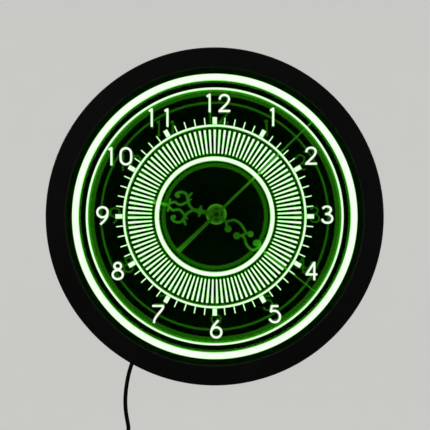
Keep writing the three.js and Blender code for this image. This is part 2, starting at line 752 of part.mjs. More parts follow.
const KNOB_BACK = CASE_BACK + FIT + KNOB_THICK;
const KNOB_RIBS = 20;
const knobOutline = new THREE.Shape(Array.from({ length: 2 * KNOB_RIBS }, (_, i) => {
  const radius = i % 2 ? KNOB_RADIUS : KNOB_RADIUS - 0.5;
  const angle = (Math.PI * i) / KNOB_RIBS;
  return new THREE.Vector2(radius * Math.cos(angle), radius * Math.sin(angle));
}));
addPart('setting_knob', join(
  plate(knobOutline, CASE_BACK + FIT, KNOB_BACK).translate(knobAt[0], 0, knobAt[1]),
  rod(KNOB_ARBOR, LID_PIVOT_END, CASE_BACK + FIT + 0.5, knobAt, 8),
  gear(TEETH.knobPinion, MOTION_MODULE, LEVEL.motionWheel, phases.knobPinion, knobAt),
), 'whitePlastic', hub);

// ---------------------------------------------------------------- movement: plates, electrics, shell

const pivotHole = (place, front, back) => rod(PIVOT_RADIUS + PIVOT_CLEARANCE, front, back, place, 8);
const plateHole = (place) => pivotHole(place, PLATE_LEVEL_FRONT - 1, PLATE_LEVEL_BACK + 1);
const TRAIN_PLATE_SPAN = [[-12.5, 13.5], [-8.5, 14]];
const postInset = 1.8;
const POST_RADIUS = 1.4;
const postPlaces = [
  [TRAIN_PLATE_SPAN[0][0] + postInset, TRAIN_PLATE_SPAN[1][0] + postInset],
  [TRAIN_PLATE_SPAN[0][1] - postInset, TRAIN_PLATE_SPAN[1][0] + postInset],
  [TRAIN_PLATE_SPAN[0][1] - postInset, TRAIN_PLATE_SPAN[1][1] - postInset],
];
addPart('train_plate', cut(
  plate(roundedRectangle(...TRAIN_PLATE_SPAN, 2), PLATE_LEVEL_FRONT, PLATE_LEVEL_BACK, 3),
  rod(CANNON_RADIUS + 0.1, PLATE_LEVEL_FRONT - 1, PLATE_LEVEL_BACK + 1),
  ...[motionAt, intermediateAt, thirdAt, rotorAt].map(plateHole),
), 'whitePlastic', hub);

const COIL_WINDING = { axisZ: 23, from: 1, to: 19, bore: 1.25, radius: 2.2, flange: 2.5, flangeThick: 0.8 };
const [STATOR_FRONT, STATOR_BACK] = atLevel(LEVEL.stator);
const coilAxisY = (STATOR_FRONT + STATOR_BACK) / 2;
const coilEnd = COIL_WINDING.to - COIL_WINDING.from;
addPart('drive_coil', closed(turned([
  [COIL_WINDING.bore, 0],
  [COIL_WINDING.flange, 0],
  [COIL_WINDING.flange, COIL_WINDING.flangeThick],
  [COIL_WINDING.radius, COIL_WINDING.flangeThick],
  [COIL_WINDING.radius, coilEnd - COIL_WINDING.flangeThick],
  [COIL_WINDING.flange, coilEnd - COIL_WINDING.flangeThick],
  [COIL_WINDING.flange, coilEnd],
  [COIL_WINDING.bore, coilEnd],
], ROUND_SIDES)
  .rotateZ(-Math.PI / 2)
  .translate(COIL_WINDING.from, coilAxisY, COIL_WINDING.axisZ)), 'copper', hub);

const armHalf = 4.2;
const MAGNET_GAP = 0.5;
const statorArm = roundedRectangle(
  [rotorAt[0] - armHalf, rotorAt[0] + armHalf],
  [rotorAt[1] - armHalf, COIL_WINDING.axisZ + 2],
  1,
);
statorArm.holes.push(new THREE.Path().absarc(...rotorAt, MAGNET_RADIUS + MAGNET_GAP, 0, 2 * Math.PI, true));
addPart('stator', join(
  plate(statorArm, STATOR_FRONT, STATOR_BACK, 4),
  box(
    [rotorAt[0], COIL_WINDING.to + 2],
    [STATOR_FRONT, STATOR_BACK],
    [COIL_WINDING.axisZ - 0.8, COIL_WINDING.axisZ + 0.8],
  ),
), 'steel', hub);

const [BOARD_FRONT, BOARD_BACK] = atLevel(LEVEL.board);
const boardX = [TRAIN_PLATE_SPAN[0][1] + 1, MOVEMENT_HALF - MOVEMENT_WALL - 1];
const boardZ = [-6, 17];
const boardMiddle = (boardX[0] + boardX[1]) / 2;
const CHIP_RADIUS = 2.6;
const CHIP_HEIGHT = 0.9;
const CRYSTAL_HALF = 1.1;
const CRYSTAL_HEIGHT = 2;
addPart('circuit_board', join(
  box(boardX, [BOARD_FRONT, BOARD_BACK], boardZ),
  rod(CHIP_RADIUS, BOARD_FRONT - CHIP_HEIGHT, BOARD_FRONT + 0.2, [boardMiddle, 4], 12),
  box(
    [boardMiddle - CRYSTAL_HALF, boardMiddle + CRYSTAL_HALF],
    [BOARD_FRONT - CRYSTAL_HEIGHT, BOARD_FRONT + 0.2],
    [8.5, 15.5],
  ),
), 'board', hub);

const CASE_FRONT = LID_IN + FIT;
const insideX = MOVEMENT_HALF - MOVEMENT_WALL;
const chamberTop = MOVEMENT_TOP - MOVEMENT_WALL;
const rearHole = (place, radius) => rod(radius, BACK_WALL_IN - 0.1, CASE_BACK + 1, place, 8);
const blindRearHole = (place) => pivotHole(place, BACK_WALL_IN - 0.1, REAR_PIVOT_END + 0.3);
addPart('movement_case', cut(
  join(
    cut(
      plate(
        roundedRectangle([-MOVEMENT_HALF, MOVEMENT_HALF], [MOVEMENT_BOTTOM, MOVEMENT_TOP], 2.5),
        CASE_FRONT,
        CASE_BACK,
        3,
      ),
      box([-insideX, insideX], [CASE_FRONT - 1, BACK_WALL_IN], [-TRAIN_BELOW, chamberTop]),
      box([-insideX, insideX], [CASE_FRONT - 1, CASE_BACK + 1], [BAY_BOTTOM, BAY_TOP]),
    ),
    ...postPlaces.map((place) => rod(POST_RADIUS, PLATE_LEVEL_BACK + FIT, BACK_WALL_IN + 0.3, place, 8)),
  ),
  ...[intermediateAt, thirdAt, rotorAt, CENTRE].map(blindRearHole),
  rearHole(knobAt, KNOB_ARBOR + PIVOT_CLEARANCE),
), 'mattBlack', hub);

const bushFront = LID_FRONT - BUSH_LENGTH;
addPart('movement_lid', cut(
  join(
    plate(
      roundedRectangle([-MOVEMENT_HALF, MOVEMENT_HALF], [MOVEMENT_BOTTOM, MOVEMENT_TOP], 2.5),
      LID_FRONT,
      LID_IN,
      3,
    ),
    rod(BUSH_RADIUS, bushFront, LID_FRONT + 0.5, CENTRE, 24),
  ),
  rod(BUSH_BORE, bushFront - 1, LID_IN + 1, CENTRE, 24),
  ...[motionAt, intermediateAt].map((place) => pivotHole(place, LID_PIVOT_END - 0.2, LID_IN + 1)),
  rod(KNOB_ARBOR + PIVOT_CLEARANCE, LID_PIVOT_END - 0.2, LID_IN + 1, knobAt, 8),
), 'mattBlack', hub);

const WASHER_BACK = PLATE_FRONT - FIT;
addPart('bush_gasket', tube(DIAL_HOLE, GASKET_RADIUS, GASKET_FRONT, LID_FRONT - FIT, 24), 'rubber', hub);
const WASHER_FRONT = WASHER_BACK - WASHER_THICK;
addPart('bush_washer', tube(DIAL_HOLE, WASHER_RADIUS, WASHER_FRONT, WASHER_BACK, 36), 'brass', hub);
const NUT_BACK = WASHER_FRONT - FIT;
addPart('bush_nut', cut(
  rod(NUT_ACROSS_FLATS / Math.sqrt(3), NUT_BACK - NUT_THICK, NUT_BACK, CENTRE, 6),
  rod(DIAL_HOLE, NUT_BACK - NUT_THICK - 1, NUT_BACK + 1, CENTRE, 24),
), 'brass', hub);

const NUB_RADIUS = 2.6;
const CELL_EASE = 0.4;
const cellHalf = CELL_LENGTH / 2;
const cellRadius = CELL_DIAMETER / 2;
addPart('battery_cell', closed(turned([
  [0, -cellHalf],
  [cellRadius - CELL_EASE, -cellHalf],
  [cellRadius, -cellHalf + CELL_EASE],
  [cellRadius, cellHalf - CELL_NUB - CELL_EASE],
  [cellRadius - CELL_EASE, cellHalf - CELL_NUB],
  [NUB_RADIUS, cellHalf - CELL_NUB],
  [NUB_RADIUS, cellHalf],
  [0, cellHalf],
], 24).rotateZ(-Math.PI / 2).translate(0, CELL_Y, CELL_Z)), 'cellSleeve', hub);

const CONTACT_THICK = 0.4;
const CONTACT_HALF = 5;
const TAB_WIDTH = 2;
[['battery_contact_minus', -1], ['battery_contact_plus', 1]].forEach(([name, side]) => {
  const outer = side * (insideX - FIT);
  const inner = outer - side * CONTACT_THICK;
  const leaf = box(
    [Math.min(inner, outer), Math.max(inner, outer)],
    [CELL_Y - CONTACT_HALF, CELL_Y + CONTACT_HALF],
    [CELL_Z - CONTACT_HALF, CELL_Z + CONTACT_HALF],
  );
  const tab = box(
    [Math.min(inner, outer), Math.max(inner, outer)],
    [CELL_Y - CONTACT_HALF, CELL_Y - CONTACT_HALF + TAB_WIDTH],
    [CELL_Z, BAY_TOP - FIT],
  );
  addPart(name, join(leaf, tab), 'steel', hub);
});

// ---------------------------------------------------------------- hands

/** A stroke of tapering width along a smooth line through [u, v] points, as a flat shape. */
function ribbon(points, startWidth, endWidth, samples) {
  const spine = new THREE.SplineCurve(points.map(([u, v]) => new THREE.Vector2(u, v)));
  const sides = [1, -1].map((side) => Array.from({ length: samples + 1 }, (_, i) => {
    const at = spine.getPoint(i / samples);
    const along = spine.getTangent(i / samples);
    const half = (side * THREE.MathUtils.lerp(startWidth, endWidth, i / samples)) / 2;
    return new THREE.Vector2(at.x - along.y * half, at.y + along.x * half);
  }));
  return new THREE.Shape([...sides[0], ...sides[1].reverse()]);
}

const mirrored = (points) => points.map(([u, v]) => [u, -v]);

/** A flat hand stamped from sheet: strokes and round drops, a hub disc and its hole. */
function stampedHand({ strokes, drops }, hubRadius, hole, middle) {
  const front = middle - HAND_THICK / 2;
  const back = middle + HAND_THICK / 2;
  return cut(
    join(
      rod(hubRadius, front, back, CENTRE, 24),
      ...strokes.map((stroke) => plate(ribbon(...stroke), front, back)),
      ...drops.map(([u, v, radius]) => rod(radius, front, back, [u, v])),
    ),
    rod(hole, front - 1, back + 1),
  );
}

// both hands in their own frame: u runs from the hub to the tip, v to the anticlockwise side
const minuteScroll = [
  [13.2, 2.4], [15.7, 5.6], [18.8, 6.7], [22.9, 6.8], [26.9, 5.8], [31.0, 4.1], [32.6, 2.0],
];
const minuteHook = [
  [32.6, 2.0], [31.2, -1.2], [34.7, -1.2], [37.0, -3.5], [40.1, -5.1], [43.8, -5.8], [47.2, -5.0],
  [49.4, -1.6], [49.6, 2.6], [46.6, 4.6], [45.0, 3.0],
];
const MINUTE_REACH = CARRIER_INNER - MINUTE_TIP_CLEARANCE;
const HOUR_REACH = MINUTE_REACH * HOUR_SHARE;
const SECOND_REACH = CARRIER_INNER - SECOND_TIP_CLEARANCE;
const minuteArtwork = {
  strokes: [
    [[[3, 0], [12.5, 0.4]], 3.2, 2.4, 1],
    [[[11.5, 0.4], [13.6, -1.8], [16.6, -3.8]], 2.6, 2.4, 2],
    [[[11.5, 0.4], ...minuteScroll], 2.4, 2.4, 18],
    [[[31.6, 2.8], [34.4, 4.4], [36.0, 5.0]], 2.2, 2.6, 2],
    [[[31.6, 0.6], [29.6, -2.4], [27.4, -3.8]], 2.2, 2.4, 2],
    [minuteHook, 2.4, 2.4, 30],
    [[[49.6, 0], [MINUTE_REACH, 0]], 1.9, 1.1, 1],
  ],
  drops: [
    [16.9, -4.0, 3.3],
    [36.2, 5.0, 3.0],
    [27.2, -4.0, 3.4],
    [45.6, 1.8, 3.2],
    [MINUTE_REACH, 0, 0.55],
  ],
};

const hourBranch = [[22.6, 0.6], [25.4, 2.6], [27.4, 5.2], [29.3, 9.5], [31.4, 13.4], [36.0, 14.5]];
const hourCurl = [[36.0, 14.5], [39.6, 12.6], [40.6, 10.2], [38.4, 9.4]];
const hourInner = [
  [28.2, 6.6], [30.4, 5.2], [33.6, 2.8], [36.6, 2.4], [40.6, 4.0], [44.4, 1.9], [46.4, 0.3],
];
const halfHour = [
  [hourBranch, 2.6, 2.6, 12],
  [hourCurl, 2.6, 2.4, 8],
  [hourInner, 2.4, 2.4, 14],
  [[[29.6, 10.6], [27.4, 13.4], [25.9, 15.6]], 3.0, 1.8, 2],
  [[[28.6, 8.0], [25.4, 9.4]], 2.2, 1.4, 1],
  [[[44.2, 1.9], [45.4, 4.2], [44.9, 6.2]], 2.0, 2.0, 2],
];
const hourArtwork = {
  strokes: [
    [[[3, 0], [23.6, 0]], 4.2, 3.4, 1],
    [[[15.6, -4.2], [15.6, 4.2]], 2.2, 2.2, 1],
    ...halfHour,
    ...halfHour.map(([points, ...rest]) => [mirrored(points), ...rest]),
    [[[45, 0], [60, 0]], 2.6, 3.8, 1],
    [[[59.8, 0], [HOUR_REACH, 0]], 3.8, 0.5, 1],
  ],
  drops: [
    [15.6, 0, 3.2],
    [15.6, 4.2, 1.4],
    [15.6, -4.2, 1.4],
    [38.6, 10.0, 2.1],
    [38.6, -10.0, 2.1],
  ],
};

function placeHand(mesh, clockAngle) {
  mesh.rotation.y = radians(clockAngle - 90);
}

const hourY = PLATE_FRONT - HOUR_HAND.stand;
const minuteY = PLATE_FRONT - MINUTE_HAND.stand;
const secondY = PLATE_FRONT - SECOND_HAND.stand;
placeHand(addPart(
  'hour_hand',
  stampedHand(hourArtwork, 4.9, HOUR_PIPE_RADIUS + PIPE_CLEARANCE, hourY),
  'handMetal',
  hub,
), HOUR_HAND.angle);
placeHand(addPart(
  'minute_hand',
  stampedHand(minuteArtwork, 4.2, CANNON_RADIUS + PIPE_CLEARANCE, minuteY),
  'handMetal',
  hub,
), MINUTE_HAND.angle);

const secondFront = secondY - HAND_THICK / 2;
const secondBack = secondY + HAND_THICK / 2;
const secondBlade = new THREE.Shape([
  new THREE.Vector2(-SECOND_TAIL, -2.3),
  new THREE.Vector2(0, -1.3),
  new THREE.Vector2(SECOND_REACH, -0.7),
  new THREE.Vector2(SECOND_REACH, 0.7),
  new THREE.Vector2(0, 1.3),
  new THREE.Vector2(-SECOND_TAIL, 2.3),
]);
const SECOND_HUB = 2.5;
const SECOND_HUB_HEIGHT = 1.4;
placeHand(addPart('second_hand', cut(
  join(
    plate(secondBlade, secondFront, secondBack),
    turned([
      [0, secondFront - SECOND_HUB_HEIGHT],
      [1.5, secondFront - 1.2],
      [SECOND_HUB, secondFront - 0.4],
      [SECOND_HUB, secondBack + 0.8],
      [0, secondBack + 0.8],
    ], ROUND_SIDES),
  ),
  rod(ARBOR_RADIUS + PIPE_CLEARANCE, secondSeat - FIT, secondBack + 2),
), 'handMetal', hub), SECOND_HAND.angle);

// ---------------------------------------------------------------- lead, switch and plug

const lead = new THREE.Group();
const [EXIT_X, EXIT_Z] = onClock(GLAND_CLOCK_ANGLE, CASE_RADIUS + GLAND_OUTSIDE);
lead.position.set(EXIT_X, 0, EXIT_Z);
dialCentre.add(lead);

// routes from the lead's exit, [x, y, z] with y from the wall
const leadRoute = [
  [-0.2, -10.0, -0.3],
  [-2.7, -9.6, -4.7],
  [-6.1, -8.8, -14.4],
  [-9.1, -7.8, -24.3],
  [-11.3, -6.8, -34.8],
  [-12.7, -5.9, -45.3],
  [-13.1, -5.2, -55.4],
  [-12.5, -4.7, -64.8],
  [-11.1, -4.4, -73.8],
  [-10.2, -4.3, -80.2],
  [-11.7, -4.2, -87.7],
];
const TAIL_X = -23.3;
const TAIL_Y = -13.5;
const tailRoute = [
  [TAIL_X, -16.5, -132.6],
  [TAIL_X, -16.3, -137.8],
  [TAIL_X, -15.4, -143.8],
  [TAIL_X, -14.3, -149.8],
  [TAIL_X, -13.6, -157.5],
];
const toPlugRoute = [
  [TAIL_X, TAIL_Y, SWITCH_TOP - SWITCH_SIZE[2] - FIT],
  [TAIL_X, TAIL_Y, SWITCH_TOP - SWITCH_SIZE[2] - 8],
  [TAIL_X, TAIL_Y, PLUG_TOP + 8],
  [TAIL_X, TAIL_Y, PLUG_TOP + FIT],
];
const vectors = (points) => points.map((point) => new THREE.Vector3(...point));
addPart('cord_lead', cordTube(vectors(leadRoute), CORD_DIAMETER, 12), 'rubber', lead);
addPart('cord_tail_upper', cordTube(vectors(tailRoute), CORD_DIAMETER, 4), 'rubber', lead);
addPart('cord_tail_lower', cordTube(vectors(toPlugRoute), CORD_DIAMETER, 3), 'rubber', lead);

const coilFront = -COIL_BACK - COIL_DEPTH;
const ease = 1.5;
const coilRing = addPart('cord_coil', turned([
  [COIL_INNER, coilFront + ease],
  [COIL_INNER + ease, coilFront],
  [COIL_OUTER - ease, coilFront],
  [COIL_OUTER, coilFront + ease],
  [COIL_OUTER, -COIL_BACK - ease],
  [COIL_OUTER - ease, -COIL_BACK],
  [COIL_INNER + ease, -COIL_BACK],
  [COIL_INNER, -COIL_BACK - ease],
], 36), 'rubber', lead);
coilRing.position.set(COIL_CENTRE[0], 0, COIL_CENTRE[1]);

const tieInner = [
  [-COIL_BACK - COIL_DEPTH - FIT, -COIL_BACK + FIT],
  [COIL_INNER - 1, COIL_OUTER + FIT],
];
const grown = ([low, high], by) => [low - by, high + by];
const cordTie = addPart('cord_tie', cut(
  box([-TIE_WIDTH / 2, TIE_WIDTH / 2], grown(tieInner[0], TIE_THICK), grown(tieInner[1], TIE_THICK)),
  box([-TIE_WIDTH, TIE_WIDTH], ...tieInner),
), 'rubber', lead);
cordTie.position.set(COIL_CENTRE[0], 0, COIL_CENTRE[1]);

const inlineSwitch = new THREE.Group();
inlineSwitch.position.set(TAIL_X, TAIL_Y, SWITCH_TOP - SWITCH_SIZE[2] / 2);
lead.add(inlineSwitch);
const [switchX, switchY, switchZ] = SWITCH_SIZE.map((size) => size / 2);
const SWITCH_WALL = 1.6;
const SWITCH_END_WALL = 5;
const SLOT = { x: 2.6, z: 5.2 };
const SLIDER = { x: 2.2, z: 2.8, proud: 1.5 };
const hollowX = [-switchX + SWITCH_WALL, switchX - SWITCH_WALL];
const hollowZ = [-switchZ + SWITCH_END_WALL, switchZ - SWITCH_END_WALL];
const shellHalf = (front, back) => plate(
  roundedRectangle([-switchX, switchX], [-switchZ, switchZ], 4),
  front,
  back,
  5,
);
addPart('switch_back_shell', cut(
  shellHalf(FIT / 2, switchY),
  box(hollowX, [-1, switchY - SWITCH_WALL], hollowZ),
), 'mattBlack', inlineSwitch);
addPart('switch_front_shell', cut(
  shellHalf(-switchY, -FIT / 2),
  box(hollowX, [-switchY + SWITCH_WALL, 1], hollowZ),
  box([-SLOT.x, SLOT.x], [-switchY - 1, 0], [-SLOT.z, SLOT.z]),
), 'mattBlack', inlineSwitch);
const sliderRest = SLIDER_TRAVEL / 2;
addPart('switch_slider', join(
  box([-SLIDER.x, SLIDER.x], [-switchY - SLIDER.proud, -switchY + 2.5], [-SLIDER.z, SLIDER.z]),
  box([-4.2, 4.2], [-switchY + SWITCH_WALL + FIT, -switchY + SWITCH_WALL + FIT + 1], [-6.5, 6.5]),
), 'whitePlastic', inlineSwitch).position.z = sliderRest;

const plug = new THREE.Group();
plug.position.set(TAIL_X, TAIL_Y, PLUG_TOP);
lead.add(plug);
const RELIEF_LENGTH = 9;
const LATCH_WINDOW = { x: 3, half: 1.25, from: 5, to: 7.4 }; // from the mouth of the shell
const [plugX, plugY, plugZ] = [PLUG_BODY[0] / 2, PLUG_BODY[1] / 2, PLUG_BODY[2]];
const SHELL_WALL = 0.4;
const TONGUE_THICK = 1.6;
const shellTop = -plugZ + 0.3;
const relief = new THREE.CylinderGeometry(CORD_DIAMETER / 2 + 0.6, plugY - 0.6, RELIEF_LENGTH, ROUND_SIDES)
  .rotateX(Math.PI / 2)
  .translate(0, 0, -RELIEF_LENGTH / 2);
const shellHalfX = PLUG_SHELL[0] / 2;
const shellHalfY = PLUG_SHELL[1] / 2;
const shellEnd = -plugZ - PLUG_SHELL[2];
addPart('plug_body', join(
  relief,
  plate(roundedRectangle([-plugX, plugX], [-plugZ, -RELIEF_LENGTH + 0.6], 1.6), -plugY, plugY, 4),
  box(
    [-shellHalfX + SHELL_WALL + FIT, shellHalfX - SHELL_WALL - FIT],
    [shellHalfY - SHELL_WALL - FIT - TONGUE_THICK, shellHalfY - SHELL_WALL - FIT],
    [shellEnd + 1, -plugZ + 2],
  ),
), 'mattBlack', plug);
addPart('plug_shell', cut(
  box([-shellHalfX, shellHalfX], [-shellHalfY, shellHalfY], [shellEnd, -plugZ - FIT]),
  box(
    [-shellHalfX + SHELL_WALL, shellHalfX - SHELL_WALL],
    [-shellHalfY + SHELL_WALL, shellHalfY - SHELL_WALL],
    [shellEnd - 1, shellTop + 1],
  ),
  ...[-1, 1].map((side) => box(
    [side * LATCH_WINDOW.x - LATCH_WINDOW.half, side * LATCH_WINDOW.x + LATCH_WINDOW.half],
    [-shellHalfY - 1, -shellHalfY + SHELL_WALL + 0.2],
    [shellEnd + LATCH_WINDOW.from, shellEnd + LATCH_WINDOW.to],
  )),
), 'steel', plug);

export default clock;
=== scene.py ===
"""Edge-lit acrylic wall clock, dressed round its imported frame.

A matt black moulded case holds a disc of clear cast acrylic whose engraving is lit green from the
rim. Behind it turn three metal hands in front of a gloss black dial plate. A quartz movement and a
keyhole hanger sit in the back, and a low-voltage lead with an inline switch and a USB plug hangs
from the case, wound into a coil. Metres, +Z up, the dial faces -Y and the wall is the plane y = 0.
"""

import math

import bmesh
import bpy
from bpy.props import FloatProperty, FloatVectorProperty, IntProperty, PointerProperty
from mathutils import Matrix, Vector


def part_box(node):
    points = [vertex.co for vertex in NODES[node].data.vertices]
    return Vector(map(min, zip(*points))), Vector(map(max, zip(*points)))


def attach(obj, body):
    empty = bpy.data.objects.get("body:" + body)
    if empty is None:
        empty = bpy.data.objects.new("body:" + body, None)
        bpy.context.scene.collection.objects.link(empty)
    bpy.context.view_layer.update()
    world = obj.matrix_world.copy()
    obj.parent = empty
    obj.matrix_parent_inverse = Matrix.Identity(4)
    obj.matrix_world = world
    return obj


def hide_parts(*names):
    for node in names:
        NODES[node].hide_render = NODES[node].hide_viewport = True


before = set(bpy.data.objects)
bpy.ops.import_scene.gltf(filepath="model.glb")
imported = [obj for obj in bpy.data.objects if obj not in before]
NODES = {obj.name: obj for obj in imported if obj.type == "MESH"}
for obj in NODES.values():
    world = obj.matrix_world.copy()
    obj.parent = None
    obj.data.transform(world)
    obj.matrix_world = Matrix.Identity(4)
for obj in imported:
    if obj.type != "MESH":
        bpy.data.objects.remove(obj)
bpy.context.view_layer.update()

bl_info = {
    "name": "Edge-lit wall clock",
    "version": (1, 0, 0),
    "blender": (4, 5, 0),
    "location": "View3D > Sidebar > Clock",
    "description": "Builds the pieces and finishes of an edge-lit acrylic wall clock",
    "category": "Object",
}

MM = 0.001


def extent(node):
    """The lowest and the highest corner of a frame node's box."""
    low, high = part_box(node)
    return Vector(low), Vector(high)


def middle(node):
    low, high = extent(node)
    return (low + high) / 2


BEZEL_LOW, BEZEL_HIGH = extent("front_bezel")
ACRYLIC_LOW, ACRYLIC_HIGH = extent("acrylic_dial")
PLATE_LOW, PLATE_HIGH = extent("dial_plate")
DIAL = Vector((0, 0, middle("front_bezel").z))  # the dial's axis, on the wall plane
WASHER = middle("bush_washer")
HUB = Vector((WASHER.x, 0, WASHER.z))  # the hands' axis, on the wall plane
CASE_RADIUS = (BEZEL_HIGH.x - BEZEL_LOW.x) / 2
CASE_FRONT = BEZEL_LOW.y
ACRYLIC_RADIUS = (ACRYLIC_HIGH.x - ACRYLIC_LOW.x) / 2
ACRYLIC_FRONT = ACRYLIC_LOW.y
ACRYLIC_BACK = ACRYLIC_HIGH.y
PLATE_FRONT = PLATE_LOW.y
PLATE_BACK = PLATE_HIGH.y
TURN = 2 * math.pi
FINE_STEPS = 240  # facets of the large round pieces

# walls and overlaps of the frame's nodes, repeated by the pieces that replace them
SKIRT_WALL = 2.5 * MM
FLANGE_THICK = 3 * MM
FLANGE_COVER = 3.7 * MM  # how far the flange covers the acrylic
GAP = 0.3 * MM  # between neighbours
GLAND_BACK = 10 * MM  # the lead's exit to the wall
CELL_NUB = 1.1 * MM


def linear(code):
    """An sRGB hex colour as linear red, green, blue."""
    parts = [int(code[i : i + 2], 16) / 255 for i in (1, 3, 5)]
    return tuple(c / 12.92 if c <= 0.04045 else ((c + 0.055) / 1.055) ** 2.4 for c in parts)


# ---------------------------------------------------------------- what a user may change

class ClockCaseSettings(bpy.types.PropertyGroup):
    outer_edge: FloatProperty(
        name="Outer edge radius",
        description="Rounding of the drum's front edge",
        default=1.6 * MM,
        min=0.2 * MM,
        max=2.4 * MM,
        unit="LENGTH",
    )
    inner_edge: FloatProperty(
        name="Opening edge radius",
        description="Rounding of the edge round the dial opening",
        default=0.7 * MM,
        min=0.2 * MM,
        max=1.4 * MM,
        unit="LENGTH",
    )
    colour: FloatVectorProperty(
        name="Case colour",
        description="Colour of the moulded case",
        subtype="COLOR",
        size=3,
        default=linear("#090909"),
        min=0,
        max=1,
    )


class ClockDialSettings(bpy.types.PropertyGroup):
    bar_count: IntProperty(
        name="Bars",
        description="Number of radial bars in the speedometer ring",
        default=107,
        min=12,
        max=180,
    )
    bar_inner: FloatProperty(
        name="Bars from",
        description="Radius where the radial bars start",
        default=56.2 * MM,
        unit="LENGTH",
    )
    bar_outer: FloatProperty(
        name="Bars to",
        description="Radius where the radial bars end",
        default=77.6 * MM,
        unit="LENGTH",
    )
    tick_reach: FloatProperty(
        name="Tick reach",
        description="Radius where the minute and hour ticks end",
        default=88.5 * MM,
        unit="LENGTH",
    )
    numeral_stroke: FloatProperty(
        name="Numeral stroke",
        description="Width of the line that draws the hour numbers",
        default=2.05 * MM,
        unit="LENGTH",
    )
    engraving_depth: FloatProperty(
        name="Engraving depth",
        description="Depth of the cut in the front face of the acrylic",
        default=0.7 * MM,
        unit="LENGTH",
    )


class ClockLightSettings(bpy.types.PropertyGroup):
    face: FloatVectorProperty(
        name="Lit face",
        description="Colour of the engraving's floor, seen through the front of the acrylic",
        subtype="COLOR",
        size=3,
        default=linear("#F8FDF3"),
        min=0,
        max=1,
    )
    flank: FloatVectorProperty(
        name="Lit flank",
        description="Colour of the engraving's sloping sides",
        subtype="COLOR",
        size=3,
        default=linear("#86EE62"),
        min=0,
        max=1,
    )
    inward: FloatVectorProperty(
        name="Light inwards",
        description="Colour of the light that the engraving throws back at the hands and the plate",
        subtype="COLOR",
        size=3,
        default=linear("#5BFF26"),
        min=0,
        max=1,
    )
    inward_strength: FloatProperty(
        name="Inward strength",
        description="Strength of the light thrown back at the hands and the plate",
        default=2.4,
        min=0,
        max=20,
    )


class ClockCordSettings(bpy.types.PropertyGroup):
    diameter: FloatProperty(
        name="Lead diameter",
        description="Outside diameter of the low-voltage lead",
        default=4 * MM,
        unit="LENGTH",
    )
    length: FloatProperty(
        name="Lead length",
        description="Real length of the lead from the case to the plug",
        default=1.5,
        unit="LENGTH",
    )


class ClockStageSettings(bpy.types.PropertyGroup):
    floor_colour: FloatVectorProperty(
        name="Floor",
        description="Colour of the plain studio floor and its cove",
        subtype="COLOR",
        size=3,
        default=linear("#C9C9C6"),
        min=0,
        max=1,
    )
    key_power: FloatProperty(
        name="Key light",
        description="Power of the large soft light beside the camera",
        default=3.4,
        unit="POWER",
    )
    spill_power: FloatProperty(
        name="Spill",
        description="Power of the green light that falls from the acrylic on the hands",
        default=0.004,
        unit="POWER",
    )
    spill_colour: FloatVectorProperty(
        name="Spill colour",
        description="Colour of the light that falls from the acrylic on the hands",
        subtype="COLOR",
        size=3,
        default=(0.12, 1.0, 0.0),
        min=0,
        max=1,
    )
    camera_place: FloatVectorProperty(
        name="Camera",
        description="Place of the camera, from the dial's centre on the wall",
        subtype="TRANSLATION",
        size=3,
        default=(0.25 * MM, -407.3 * MM, 1.25 * MM),
        unit="LENGTH",
    )
    lens: FloatProperty(
        name="Lens",
        description="Focal length of the camera",
        default=33.66,
        min=10,
        max=200,
        unit="CAMERA",
    )


SETTINGS = {
    "clock_case": ClockCaseSettings,
    "clock_dial": ClockDialSettings,
    "clock_light": ClockLightSettings,
    "clock_cord": ClockCordSettings,
    "clock_stage": ClockStageSettings,
}


# ---------------------------------------------------------------- shape tools


def rounded(bm, edges, radius, segments=3):
    bmesh.ops.bevel(
        bm,
        geom=list(edges),
        offset=radius,
        offset_type="OFFSET",
        segments=segments,
        profile=0.5,
        affect="EDGES",
        clamp_overlap=True,
        material=-1,
    )


def sharp_edges(bm, angle=math.radians(30)):
    return [e for e in bm.edges if e.is_manifold and e.calc_face_angle() > angle]


def spun(profile, steps=FINE_STEPS, bm=None):
    """A solid of revolution about the Y axis; the profile is its section's (radius, y) corners."""
    bm = bm or bmesh.new()
    corners = [bm.verts.new((radius, y, 0)) for radius, y in profile]
    rim = [bm.edges.new(pair) for pair in zip(corners, corners[1:] + corners[:1])]
    on_axis = [e for e in rim if all(abs(v.co.x) < 1e-9 for v in e.verts)]
    for edge in on_axis:
        rim.remove(edge)
        bm.edges.remove(edge)
    bmesh.ops.spin(
        bm,
        geom=corners + rim,
        cent=(0, 0, 0),
        axis=(0, 1, 0),
        angle=TURN,
        steps=steps,
        use_merge=True,
        use_duplicate=False,
    )
    bmesh.ops.remove_doubles(bm, verts=bm.verts, dist=1e-7)
    bmesh.ops.recalc_face_normals(bm, faces=bm.faces)
    return bm


def circle_edges(bm, radius, y):
    """The ring of edges that a corner of a spun profile has drawn."""
    def lies_on(v):
        return abs(math.hypot(v.co.x, v.co.z) - radius) < 1e-5 and abs(v.co.y - y) < 1e-5

    return [e for e in bm.edges if all(lies_on(v) for v in e.verts)]


def frame_copy(node, edge=0.0, segments=2):
    """A frame node's shape with its triangles merged back into faces and its edges rounded."""
    bm = bmesh.new()
    bm.from_mesh(NODES[node].data)
    bmesh.ops.remove_doubles(bm, verts=bm.verts, dist=1e-6)
    bmesh.ops.dissolve_limit(bm, angle_limit=math.radians(0.5), verts=bm.verts, edges=bm.edges)
    if edge:
        rounded(bm, sharp_edges(bm), edge, segments)
    return bm


def block(bm, low, high):
    """A box between two corners, as a start for further work."""
    low, high = Vector(low), Vector(high)
    place = Matrix.Translation((low + high) / 2) @ Matrix.Diagonal((*(high - low), 1))
    return bmesh.ops.create_cube(bm, size=1, matrix=place)["verts"]


